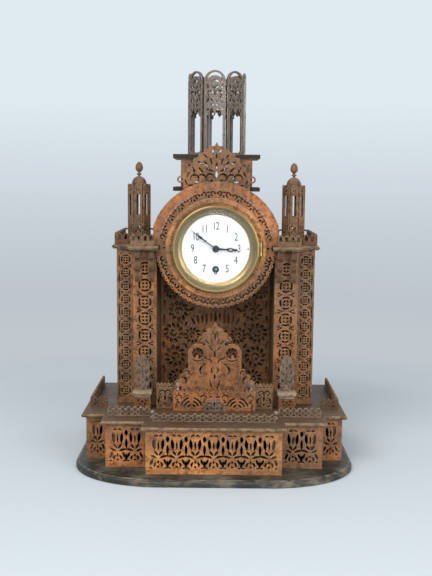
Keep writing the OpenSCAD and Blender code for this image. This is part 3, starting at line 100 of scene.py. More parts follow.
class NodeSheet:
    """A material's node tree, filled one node at a time."""

    def __init__(self, name: str) -> None:
        """Make an empty material with its Principled shader.

        Args:
            name: The material's name.
        """
        self.material = bpy.data.materials.new(name)
        self.material.use_nodes = True
        self.tree = self.material.node_tree
        self.tree.nodes.clear()
        self.output = self.tree.nodes.new("ShaderNodeOutputMaterial")
        self.shader = self.tree.nodes.new("ShaderNodeBsdfPrincipled")
        self.tree.links.new(self.shader.outputs[0], self.output.inputs[0])

    def node(self, kind: str, links: dict | None = None, **values) -> bpy.types.Node:
        """Add one node.

        Args:
            kind: The node's type name.
            links: Input name or index to the socket that feeds it.
            values: Attributes of the node, or inputs by name.

        Returns:
            The new node.
        """
        made = self.tree.nodes.new(kind)
        for key, value in values.items():
            if hasattr(made, key):
                setattr(made, key, value)
            else:
                made.inputs[key].default_value = value
        for key, socket in (links or {}).items():
            self.tree.links.new(socket, made.inputs[key])
        return made

    def coordinates(self, scale: Triple = WHOLE, turn: Triple = (0.0, 0.0, 0.0)) -> Socket:
        """Object coordinates, stretched and turned.

        Args:
            scale: Factor along each axis.
            turn: Rotation in radians.

        Returns:
            The vector socket.
        """
        source = self.node("ShaderNodeTexCoord")
        mapped = self.node("ShaderNodeMapping", {"Vector": source.outputs["Object"]})
        mapped.inputs["Scale"].default_value = scale
        mapped.inputs["Rotation"].default_value = turn
        return mapped.outputs[0]

    def attribute(self, name: str) -> Socket:
        """A face attribute of the piece as a number; it is 0 where the piece has none."""
        return self.node("ShaderNodeAttribute", attribute_name=name).outputs["Fac"]

    def upward(self) -> Socket:
        """The height of the surface's unit normal: 1 on top, 0 on a wall, -1 underneath."""
        facing = self.node("ShaderNodeNewGeometry").outputs["Normal"]
        return self.node("ShaderNodeSeparateXYZ", {0: facing}).outputs["Z"]

    def times(self, first: Socket, second: Socket) -> Socket:
        """The product of two numbers."""
        links = {0: first, 1: second}
        return self.node("ShaderNodeMath", links, operation="MULTIPLY").outputs[0]

    def noise(self, vector: Socket, pattern: Pattern) -> Socket:
        """Cloudy noise on a vector, as a number from 0 to 1."""
        scale, detail, rough = pattern.value
        values = {"Scale": scale, "Detail": detail, "Roughness": rough}
        return self.node("ShaderNodeTexNoise", {"Vector": vector}, **values).outputs[0]

    def ramp(self, factor: Socket, stops: list[tuple[float, Triple]]) -> Socket:
        """Colours by a factor.

        Args:
            factor: The number that picks the colour.
            stops: Position and colour pairs in rising order.

        Returns:
            The colour socket.
        """
        made = self.node("ShaderNodeValToRGB", {0: factor})
        ramp = made.color_ramp
        while len(ramp.elements) < len(stops):
            ramp.elements.new(0.5)
        for element, (place_on, colour) in zip(ramp.elements, stops):
            element.position = place_on
            element.color = (*colour, 1.0)
        return made.outputs[0]

    def span(
        self, factor: Socket, low: float, high: float, start: float = 0.0, end: float = 1.0
    ) -> Socket:
        """A factor remapped from start..end to low..high and clamped."""
        made = self.node("ShaderNodeMapRange", {"Value": factor})
        made.inputs["From Min"].default_value = start
        made.inputs["From Max"].default_value = end
        made.inputs["To Min"].default_value = low
        made.inputs["To Max"].default_value = high
        return made.outputs[0]

    def blend(self, factor: Socket, first: Socket | Triple, second: Socket | Triple) -> Socket:
        """Two colours mixed by a factor; each is a socket or a colour."""
        made = self.node("ShaderNodeMix", {0: factor}, data_type="RGBA")
        colour_inputs, colour_output = (6, 7), 2
        for slot, value in zip(colour_inputs, (first, second)):
            if isinstance(value, Socket):
                self.tree.links.new(value, made.inputs[slot])
            else:
                made.inputs[slot].default_value = (*value, 1.0)
        return made.outputs[colour_output]

    def bump(self, height: Socket, strength: float, distance: float) -> None:
        """Bump the shader by a height socket; the distance is in metres."""
        values = {"Strength": strength, "Distance": distance}
        made = self.node("ShaderNodeBump", {"Height": height}, **values)
        self.feed("Normal", made.outputs[0])

    def set(self, **values: float) -> None:
        """Set uniform numbers on the shader's own sockets, names with spaces as underscores."""
        for key, value in values.items():
            self.shader.inputs[key.replace("_", " ")].default_value = value

    def feed(self, name: str, socket: Socket) -> None:
        """Link a socket into one of the shader's inputs."""
        self.tree.links.new(socket, self.shader.inputs[name])


def mixed(first: Triple, second: Triple, share: float) -> Triple:
    """The colour a share of the way from the first to the second."""
    return tuple(x + (y - x) * share for x, y in zip(first, second))


def scaled(colour: Triple, factor: float) -> Triple:
    """The colour times a factor."""
    return tuple(x * factor for x in colour)


@dataclass(frozen=True)
class StainedWood:
    """Stained, varnished fretwood: long grain, dark pores, painted shade on the walls of the cuts,
    dust and painted highlight on rims, dust on ledges.

    Attributes:
        name: The material's name.
        light: Colour of the early wood.
        dark: Colour of the late wood.
        dusty: Share of dust on an upward face.
        filmed: Share of film where it is thickest.
        dust: Colour of the dust on ledges, and of the dust and painted highlight along the rims.
        film: Colour of the brown-grey film that lies on the varnish in broad patches.
        rubbed: Share of dust, rubbed varnish and painted highlight along a rim.
        gloss: Middling roughness where the varnish is whole.
        shine: Specular level of the varnish.
    """

    name: str
    light: Triple
    dark: Triple
    dusty: float
    filmed: float
    dust: Triple = (0.34, 0.235, 0.140)
    film: Triple = (0.150, 0.098, 0.060)
    rubbed: float = 0.6
    gloss: float = 0.48
    shine: float = 0.22

    def material(self, grain: Grain) -> bpy.types.Material:
        """Build the material for one direction of the grain.

        The figure gives the wood's colour. Each layer over it has a pattern, the shares at which
        the layer covers at the start and at the end of a stretch of that pattern, and its colour.

        Args:
            grain: Which way the grain runs.

        Returns:
            The finished material.
        """
        sheet = NodeSheet(f"{self.name}_{grain.name.lower()}")
        fibre = sheet.coordinates(grain.value)
        figure = sheet.noise(fibre, Pattern.FIGURE)
        pores = sheet.noise(fibre, Pattern.PORES)
        whole = sheet.coordinates()
        patches = sheet.noise(whole, Pattern.PATCHES)
        grime = sheet.noise(whole, Pattern.GRIME)
        film = sheet.noise(whole, Pattern.FILM)
        flecks = sheet.noise(whole, Pattern.FLECKS)
        sawn = sheet.attribute("sawn_wall_shade")
        middle = mixed(self.dark, self.light, 0.6)
        wood = sheet.ramp(figure, [(0.30, self.dark), (0.5, middle), (0.68, self.light)])
        layers = (
            (pores, (0.0, 0.5), (0.52, 0.72), scaled(self.dark, 0.45)),
            (patches, (0.0, 0.6), (0.46, 0.74), scaled(self.dark, 0.75)),
            (patches, (0.45, 0.0), (0.30, 0.48), scaled(self.light, 1.3)),
            (film, (0.0, self.filmed), (0.42, 0.58), self.film),
            (grime, (0.0, 0.72), (0.50, 0.62), scaled(self.dark, 0.42)),
            (flecks, (0.0, 0.3), (0.56, 0.68), scaled(self.light, 1.3)),
            (flecks, (0.3, 0.0), (0.34, 0.46), scaled(self.dark, 0.5)),
            # the walls of the cuts and openings are darkened: painted shade
            (sawn, (0.0, 0.65), (0.0, 1.0), scaled(self.dark, 0.5)),
        )
        for pattern, shares, stretch, colour in layers:
            wood = sheet.blend(sheet.span(pattern, *shares, *stretch), wood, colour)
        on_top = sheet.span(sheet.upward(), 0.0, self.dusty, 0.35, 0.95)
        settled = sheet.times(on_top, sheet.span(patches, 0.55, 1.0, 0.3, 0.7))
        wood = sheet.blend(settled, wood, self.dust)
        # light colour along the rims: dust and rubbed varnish, and painted highlight on the edges
        worn = sheet.span(grime, self.rubbed, self.rubbed * 0.25, 0.40, 0.62)
        rim = sheet.times(sheet.attribute("rim_wear_and_highlight"), worn)
        sheet.feed("Base Color", sheet.blend(rim, wood, self.dust))
        rough = sheet.span(patches, self.gloss - 0.04, self.gloss + 0.14, 0.3, 0.7)
        sheet.feed("Roughness", rough)
        sheet.bump(pores, 0.25, 0.0002)
        sheet.set(Specular_IOR_Level=self.shine)
        return sheet.material


class Tone(Enum):
    """The finishes of the wooden pieces."""

    HONEY = StainedWood("honey_wood", (0.57, 0.245, 0.080), (0.25, 0.092, 0.030), 0.35, 0.45)
    RED = StainedWood("red_wood", (0.43, 0.170, 0.063), (0.17, 0.062, 0.024), 0.35, 0.6)
    BROWN = StainedWood("brown_wood", (0.275, 0.128, 0.056), (0.105, 0.048, 0.022), 0.35, 0.6)
    DEEP = StainedWood("deep_wood", (0.33, 0.135, 0.052), (0.125, 0.050, 0.020), 0.3, 0.5)
    BOARD = StainedWood("board_wood", (0.100, 0.050, 0.027), (0.050, 0.025, 0.014), 0.12, 0.22)
    GREY = StainedWood("greyed_wood", (0.185, 0.130, 0.096), (0.090, 0.062, 0.045), 0.4, 0.4)
    LANTERN = StainedWood("lantern_wood", (0.135, 0.080, 0.050), (0.065, 0.038, 0.024), 0.3, 0.2,
                          gloss=0.15, shine=1.0)
    SLATE = StainedWood("slate_wood", (0.042, 0.027, 0.016), (0.021, 0.014, 0.009), 0.1, 0.1)
    PALE = StainedWood("pale_wood", (0.34, 0.285, 0.205), (0.18, 0.145, 0.100), 0.6, 0.4)
    INNER = StainedWood("inner_wood", (0.23, 0.110, 0.055), (0.12, 0.056, 0.029), 0.2, 0.3)

    def material(self, grain: Grain) -> bpy.types.Material:
        """The finish's material for one direction of the grain."""
        return self.value.material(grain)


@dataclass(frozen=True)
class EbonisedWood:
    """Black stained wood, worn grey-brown along its rim and in patches.

    Attributes:
        name: The material's name.
        black: Colour of the stain.
        worn: Colour where it has rubbed through.
    """

    name: str
    black: Triple = (0.022, 0.022, 0.017)
    worn: Triple = (0.24, 0.20, 0.145)

    def material(self) -> bpy.types.Material:
        """Build the finished material."""
        sheet = NodeSheet(self.name)
        fine = sheet.noise(sheet.coordinates((0.3, 1.0, 1.0)), Pattern.STAIN)
        broad = sheet.noise(sheet.coordinates(), Pattern.RUBBING)
        thin = sheet.span(sheet.times(fine, broad), 0.0, 0.55, 0.20, 0.36)
        stained = sheet.blend(thin, self.black, self.worn)
        rim = sheet.times(sheet.attribute("rim_wear_and_highlight"), sheet.span(fine, 0.0, 0.9, 0.44, 0.60))
        sheet.feed("Base Color", sheet.blend(rim, stained, self.worn))
        sheet.feed("Roughness", sheet.span(broad, 0.38, 0.7, 0.3, 0.7))
        sheet.bump(fine, 0.2, 0.0003)
        sheet.set(Specular_IOR_Level=0.3)
        return sheet.material


@dataclass(frozen=True)
class Metal:
    """A metal with tarnish and fine scratches.

    Attributes:
        name: The material's name.
        bright: Colour where it is clean.
        tarnish: Colour where it has gone dull.
        rough: Roughness where it is clean.
        spread: How much rougher the tarnish is.
        dull: Highest share of tarnish.
        scratched: Strength of the fine scratches.
    """

    name: str
    bright: Triple
    tarnish: Triple
    rough: float = 0.25
    spread: float = 0.25
    dull: float = 0.8
    scratched: float = 0.06

    def material(self) -> bpy.types.Material:
        """Build the finished material."""
        sheet = NodeSheet(self.name)
        cloud = sheet.noise(sheet.coordinates(), Pattern.TARNISH)
        along = sheet.coordinates((1.0, 1.0, 0.08), (0.3, 0.9, 0.2))
        tarnished = sheet.span(cloud, 0.0, self.dull, 0.38, 0.68)
        sheet.feed("Base Color", sheet.blend(tarnished, self.bright, self.tarnish))
        rough = sheet.span(cloud, self.rough, self.rough + self.spread, 0.35, 0.7)
        sheet.feed("Roughness", rough)
        sheet.bump(sheet.noise(along, Pattern.SCRATCHES), self.scratched, 0.00005)
        sheet.set(Metallic=1.0)
        return sheet.material


@dataclass(frozen=True)
class Enamel:
    """White fired enamel with a faint unevenness and a few specks.

    Attributes:
        name: The material's name.
        white: Colour of the ground.
        speck: Colour of the specks.
    """

    name: str
    white: Triple = (0.87, 0.875, 0.86)
    speck: Triple = (0.45, 0.43, 0.40)

    def material(self) -> bpy.types.Material:
        """Build the finished material."""
        sheet = NodeSheet(self.name)
        whole = sheet.coordinates()
        cloud = sheet.noise(whole, Pattern.GLAZE)
        grit = sheet.noise(whole, Pattern.SPECKS)
        uneven = sheet.span(cloud, 0.0, 0.35, 0.35, 0.75)
        toned = sheet.blend(uneven, self.white, scaled(self.white, 0.93))
        specks = sheet.span(grit, 0.0, 0.5, 0.72, 0.78)
        sheet.feed("Base Color", sheet.blend(specks, toned, self.speck))
        sheet.feed("Roughness", sheet.span(cloud, 0.16, 0.26, 0.3, 0.7))
        sheet.bump(cloud, 0.04, 0.0004)
        sheet.set(Coat_Weight=0.4, Coat_Roughness=0.08)
        return sheet.material


@dataclass(frozen=True)
class ClearGlass:
    """Thin clear glass with a faint film of dust.

    Attributes:
        name: The material's name.
        tint: Colour of the film.
        cover: How much the glass covers what lies behind it.
    """

    name: str
    tint: Triple = (0.30, 0.33, 0.34)
    cover: float = 0.06

    def material(self) -> bpy.types.Material:
        """Build the finished material: mostly see-through, with its own reflection."""
        sheet = NodeSheet(self.name)
        film = sheet.noise(sheet.coordinates(), Pattern.GLASS_FILM)
        sheet.feed("Roughness", sheet.span(film, 0.02, 0.08, 0.3, 0.7))
        sheet.shader.inputs["Base Color"].default_value = (*self.tint, 1.0)
        sheet.set(IOR=1.45, Alpha=self.cover)
        sheet.material.surface_render_method = "BLENDED"
        return sheet.material


@dataclass(frozen=True)
class PrintedInk:
    """Black printed enamel of the numerals.

    Attributes:
        name: The material's name.
        black: Colour of the ink.
    """

    name: str
    black: Triple = (0.011, 0.011, 0.013)

    def material(self) -> bpy.types.Material:
        """Build the finished material."""
        sheet = NodeSheet(self.name)
        cloud = sheet.noise(sheet.coordinates(), Pattern.INK)
        sheet.feed("Base Color", sheet.blend(cloud, self.black, scaled(self.black, 2.2)))
        sheet.feed("Roughness", sheet.span(cloud, 0.35, 0.55, 0.3, 0.7))
        sheet.set(Specular_IOR_Level=0.2)
        return sheet.material


def linked(name: str, data: bpy.types.ID) -> bpy.types.Object:
    """Make an object of a mesh, text, camera or lamp and link it into the scene."""
    made = bpy.data.objects.new(name, data)
    bpy.context.scene.collection.objects.link(made)
    return made


def poured(work: bmesh.types.BMesh, name: str) -> bpy.types.Object:
    """Turn a working mesh into a new object and free it."""
    mesh = bpy.data.meshes.new(name)
    work.to_mesh(mesh)
    work.free()
    return linked(name, mesh)


def shade(work: bmesh.types.BMesh, angle: float) -> None:
    """Shade a working mesh smooth, apart from edges sharper than an angle in degrees."""
    for edge in work.edges:
        edge.smooth = len(edge.link_faces) == 2 and edge.calc_face_angle(0.0) < math.radians(angle)
    for face in work.faces:
        face.smooth = True


def grid_surface(
    name: str, points: np.ndarray, wrap_u: bool = False, wrap_v: bool = False
) -> bpy.types.Object:
    """Make a mesh from a grid of points, one quad for each cell.

    Args:
        name: The object's name.
        points: Array of rows by columns by 3, in metres.
        wrap_u: The last row joins the first.
        wrap_v: The last column joins the first.

    Returns:
        The new object, its poles and doubles merged and its normals outward.
    """
    rows, columns = points.shape[:2]
    index = np.arange(rows * columns).reshape(rows, columns)
    if wrap_u:
        index = np.vstack([index, index[:1]])
    if wrap_v:
        index = np.hstack([index, index[:, :1]])
    corners = [index[:-1, :-1], index[1:, :-1], index[1:, 1:], index[:-1, 1:]]
    quads = np.stack(corners, axis=-1).reshape(-1, 4)
    mesh = bpy.data.meshes.new(name)
    mesh.vertices.add(rows * columns)
    mesh.vertices.foreach_set("co", points.reshape(-1).astype(np.float32))
    mesh.loops.add(quads.size)
    mesh.loops.foreach_set("vertex_index", quads.reshape(-1).astype(np.int32))
    mesh.polygons.add(len(quads))
    mesh.polygons.foreach_set("loop_start", np.arange(0, quads.size, 4, dtype=np.int32))
    mesh.update(calc_edges=True)
    work = bmesh.new()
    work.from_mesh(mesh)
    bmesh.ops.remove_doubles(work, verts=work.verts, dist=DOUBLE)
    bmesh.ops.dissolve_degenerate(work, edges=work.edges, dist=DOUBLE)
    bmesh.ops.recalc_face_normals(work, faces=work.faces)
    shade(work, CREASE)
    work.to_mesh(mesh)
    work.free()
    return linked(name, mesh)


def join(objects: list[bpy.types.Object], name: str) -> bpy.types.Object:
    """Join several mesh objects, all at the origin, into one.

    Args:
        objects: The objects, which are removed.
        name: The joined object's name.

    Returns:
        The joined object.
    """
    work = bmesh.new()
    for obj in objects:
        work.from_mesh(obj.data)
    made = poured(work, name)
    for obj in objects:
        old = obj.data
        bpy.data.objects.remove(obj)
        bpy.data.meshes.remove(old)
    return made


def lathe(name: str, profile: np.ndarray, centre: Triple, sides: int) -> bpy.types.Object:
    """Turn a profile about an axis that runs from front to back.

    A point is the centre plus radius times cosine and sine of the angle in X and Z, and plus its
    depth in Y.

    Args:
        name: The object's name.
        profile: Closed loop or pole-to-pole line of (radius, depth) in millimetres.
        centre: A point on the axis, in metres, where the depth is 0.
        sides: Steps round the axis.

    Returns:
        The new object.
    """
    angle = np.linspace(0.0, 2 * np.pi, sides, endpoint=False)[None]
    radius, depth = profile[:, 0][:, None], profile[:, 1][:, None]
    x, z = radius * np.cos(angle), radius * np.sin(angle)
    points = np.stack([x, depth + 0 * angle, z], axis=-1) * MM + np.array(centre)
    closed = bool(np.all(profile[[0, -1], 0] > POLE))
    return grid_surface(name, points, wrap_u=closed, wrap_v=True)


def rounded(profile: Profile) -> np.ndarray:
    """Soften a turned profile: each corner is cut at a quarter of its two sides, ends kept.

    Args:
        profile: Points of the profile in millimetres.

    Returns:
        The softened points.
    """
    points = np.array(profile, float)
    for _ in range(CORNER_CUTS):
        near = points[:-1] * 0.75 + points[1:] * 0.25
        far = points[:-1] * 0.25 + points[1:] * 0.75
        middle = np.stack([near, far], axis=1).reshape(-1, 2)
        points = np.vstack([points[:1], middle[1:-1], points[-1:]])
    return points


def broad_faces(work: bmesh.types.BMesh) -> set[int]:
    """Find the faces on the two broad sides of each board in a mesh.

    For each board, found as one connected shell, the direction that holds the most area is its
    broad one.

    Args:
        work: A merged mesh with fresh face indices and normals.

    Returns:
        The indices of the broad faces.
    """
    seen: set[int] = set()
    broad: set[int] = set()
    for start in work.faces:
        if start.index in seen:
            continue
        seen.add(start.index)
        shell, waiting = [], [start]
        while waiting:
            face = waiting.pop()
            shell.append(face)
            for near in (other for edge in face.edges for other in edge.link_faces):
                if near.index not in seen:
                    seen.add(near.index)
                    waiting.append(near)
        normals = np.array([face.normal for face in shell])
        normals *= np.where(normals @ np.array(SIDE) < 0, -1.0, 1.0)[:, None]
        areas = np.array([face.calc_area() for face in shell])
        keys, which = np.unique(np.round(normals, 2), axis=0, return_inverse=True)
        main_way = keys[np.argmax(np.bincount(which.reshape(-1), weights=areas))]
        flat = np.abs(normals @ main_way) > FLATNESS
        broad.update(face.index for face, is_flat in zip(shell, flat) if is_flat)
    return broad


def copied(node: str) -> bmesh.types.BMesh:
    """Copy a CAD node's loose triangles into a working mesh and merge their shared points."""
    work = bmesh.new()
    work.from_mesh(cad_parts[node].data)
    bmesh.ops.remove_doubles(work, verts=work.verts, dist=MERGE)
    work.faces.index_update()
    work.normal_update()
    return work


def softened(
    node: str, name: str, width: float, steps: int = 1, edge_wear_and_highlight: float | None = None
) -> bpy.types.Object:
    """Copy a CAD node's boards with their rims cut off at a slant, and mark rims and sawn walls.

    Args:
        node: The node's name.
        name: The copy's name.
        width: Width that is taken off each rim, in millimetres.
        steps: Faces across the rim.
        edge_wear_and_highlight: Value of rim_wear_and_highlight on planed edges, which adds wear
            and painted highlight; None where the edges and openings are sawn.

    Returns:
        The copy, with the face attributes rim_wear_and_highlight and sawn_wall_shade.
    """
    work = copied(node)
    broad = broad_faces(work)
    sawn = work.faces.layers.float.new("sawn_wall_shade")
    rim = work.faces.layers.float.new("rim_wear_and_highlight")
    for face in work.faces:
        face[sawn] = float(edge_wear_and_highlight is None and face.index not in broad)
        face[rim] = 0.0 if face.index in broad else (edge_wear_and_highlight or 0.0)
    rims = [
        edge
        for edge in work.edges
        if sorted(face.index in broad for face in edge.link_faces) == [False, True]
    ]
    cut = bmesh.ops.bevel(
        work, geom=rims, offset=width * MM, offset_type="OFFSET", segments=steps, profile=0.5,
        affect="EDGES", clamp_overlap=False,
    )
    # the slanted rim faces get dust and painted highlight in the stained wood's material
    for face in cut["faces"]:
        face[rim], face[sawn] = 1.0, 0.0
    work.normal_update()
    shade(work, CREASE)
    return poured(work, name)


def merged(node: str, name: str, angle: float) -> bpy.types.Object:
    """Copy a CAD node's turned solid with its triangles joined, shaded smooth up to an angle.

    Args:
        node: The node's name.
        name: The copy's name.
        angle: Edges sharper than this many degrees stay sharp.

    Returns:
        The copy.
    """
    work = copied(node)
    shade(work, angle)
    return poured(work, name)


def dress(node: str, material: bpy.types.Material) -> None:
    """Give a CAD node its material.

    Args:
        node: The node's name.
        material: The finish.
    """
    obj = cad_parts[node]
    obj.data.materials.clear()
    obj.data.materials.append(material)
    log.info("dressed %s with %s", node, material.name)


def place(
    obj: bpy.types.Object, body: str, material: bpy.types.Material, slot: str, *stands_for: str
) -> None:
    """Finish a new piece.

    Args:
        obj: The piece.
        body: The CAD body that it moves with.
        material: Its finish.
        slot: The record's material slot; not used.
        stands_for: The CAD nodes that it replaces.
    """
    obj.data.materials.clear()
    obj.data.materials.append(material)
    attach(obj, body)
    if stands_for:
        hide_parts(*stands_for)
    log.info("made %s on %s", obj.name, body)


@dataclass
class Fretwork:
    """The sawn and glued wooden case: boards with softened rims that carry dust and painted
    highlight, inner boards as they are.

    Attributes:
        boards: Record slot, finish and run of the grain of each board that shows.
        turned: Record slot and finish of each turned node.
        inner: Finish of each node that only shows through the openings.
        rim: Width of a board's softened rim in millimetres.
        planed: Boards with planed edges and a wider rim.
        planed_rim: Width of that rim in millimetres.
        planed_wear: Wear and painted highlight on the planed edges, as a share of the rim's.
        plinth_rim: Width of the plinth's rounded rim in millimetres.
        bead_count: Pearls round the collar, before the gap at the hinge.
        bead_ring: Radius of the ring of pearls in millimetres.
        bead_radius: Radius of a pearl in millimetres.
        bead_sunk: Depth of a pearl's middle behind the collar's front, as a share of its radius.
        hinge_gap: Half height of the gap at the hinge, as a share of the ring's radius.
    """

    boards: dict[str, tuple[str, Tone, Grain]] = field(default_factory=lambda: {
        "base_centre_panel": ("polished_fretwood", Tone.HONEY, Grain.ACROSS),
        "base_step_panels": ("fretwood", Tone.RED, Grain.ACROSS),
        "base_end_walls": ("fretwood", Tone.BROWN, Grain.DEEP),
        "top_board": ("fretwood", Tone.BOARD, Grain.ACROSS),
        "front_rails": ("fretwood", Tone.GREY, Grain.ACROSS),
        "end_rails": ("fretwood", Tone.BROWN, Grain.ACROSS),
        "front_crest": ("fretwood", Tone.GREY, Grain.ACROSS),
        "balustrade": ("polished_fretwood", Tone.RED, Grain.ACROSS),
        "alcove_panels": ("fretwood", Tone.BROWN, Grain.ACROSS),
        "centre_ornament": ("polished_fretwood", Tone.DEEP, Grain.UPRIGHT),
        "pedestal_sides": ("fretwood", Tone.RED, Grain.ACROSS),
        "pedestal_caps": ("pale_wood", Tone.PALE, Grain.ACROSS),
        "leaf_sprays": ("fretwood", Tone.GREY, Grain.UPRIGHT),
        "tower_bay_panels": ("fretwood", Tone.DEEP, Grain.UPRIGHT),
        "tower_wing_panels": ("fretwood", Tone.BROWN, Grain.UPRIGHT),
        "tower_side_walls": ("fretwood", Tone.BROWN, Grain.UPRIGHT),
        "tower_slabs": ("fretwood", Tone.BOARD, Grain.ACROSS),
        "corbels": ("fretwood", Tone.BROWN, Grain.UPRIGHT),
        "tower_rails": ("fretwood", Tone.BROWN, Grain.ACROSS),
        "turret_panels": ("fretwood", Tone.BROWN, Grain.UPRIGHT),
        "ring_fret": ("fretwood", Tone.RED, Grain.UPRIGHT),
        "ring_collar": ("polished_fretwood", Tone.HONEY, Grain.ACROSS),
        "back_fret": ("fretwood", Tone.DEEP, Grain.UPRIGHT),
        "crown_plates": ("fretwood", Tone.SLATE, Grain.ACROSS),
        "crown_walls": ("fretwood", Tone.BROWN, Grain.ACROSS),
        "crown_crest": ("fretwood", Tone.BROWN, Grain.UPRIGHT),
        "lantern_panels": ("fretwood", Tone.LANTERN, Grain.UPRIGHT),
    })
    turned: dict[str, tuple[str, Tone]] = field(default_factory=lambda: {
        "turned_knobs": ("pale_wood", Tone.PALE),
        "turret_domes": ("fretwood", Tone.BROWN),
    })
    inner: dict[str, Tone] = field(default_factory=lambda: {
        "base_back_panel": Tone.INNER,
        "glue_blocks": Tone.INNER,
        "tower_back_walls": Tone.HONEY,
        "vault": Tone.DEEP,
    })
    rim: float = 0.3
    planed: tuple[str, ...] = ("top_board", "tower_slabs", "pedestal_caps")
    planed_rim: float = 0.6
    planed_wear: float = 0.6
    plinth_rim: float = 0.8
    bead_count: int = 96
    bead_ring: float = 54.3
    bead_radius: float = 1.0
    bead_sunk: float = 0.3
    hinge_gap: float = 0.19

    def pearls(self) -> bpy.types.Object:
        """Round pearls along the collar's inner edge, with a gap at the hinge.

        Each is a ball on a grid of two angles, and its back lies in the collar's raised step.

        Returns:
            The joined pearls.
        """
        low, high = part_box("ring_collar")
        middle = (low[2] + high[2]) / 2
        turn = 2 * np.pi * np.arange(self.bead_count) / self.bead_count
        turn = turn[~((np.cos(turn) > 0) & (np.abs(np.sin(turn)) < self.hinge_gap))]
        x = self.bead_ring * MM * np.cos(turn)
        y = np.full_like(turn, low[1] + self.bead_sunk * self.bead_radius * MM)
        z = middle + self.bead_ring * MM * np.sin(turn)
        across = np.linspace(0, np.pi, 6)[:, None]
        along = np.linspace(0, 2 * np.pi, 8, endpoint=False)[None]
        sides = [np.sin(across) * np.cos(along), -np.cos(across) + 0 * along,
                 np.sin(across) * np.sin(along)]
        ball = np.stack(sides, axis=-1) * self.bead_radius * MM
        spots = np.stack([x, y, z], axis=-1)
        made = [grid_surface("pearl", spot + ball, wrap_v=True) for spot in spots]
        return join(made, "collar_pearls")

    def build(self) -> None:
        """Make and dress every wooden piece."""
        for node, (slot, tone, grain) in self.boards.items():
            if node in self.planed:
                made = softened(node, f"{node}_boards", self.planed_rim, 2, self.planed_wear)
            else:
                made = softened(node, f"{node}_boards", self.rim)
            place(made, "case", tone.material(grain), slot, node)
        for node, tone in self.inner.items():
            dress(node, tone.material(Grain.UPRIGHT))
        for node, (slot, tone) in self.turned.items():
            made = merged(node, f"{node}_turned", CREASE)
            place(made, "case", tone.material(Grain.UPRIGHT), slot, node)
        pale = Tone.PALE.material(Grain.ACROSS)
        place(self.pearls(), "case", pale, "polished_fretwood")
        black = EbonisedWood("ebonised_wood").material()
        plinth = softened("plinth", "plinth_board", self.plinth_rim, 3, 0.0)
        place(plinth, "case", black, "ebonised_wood", "plinth")


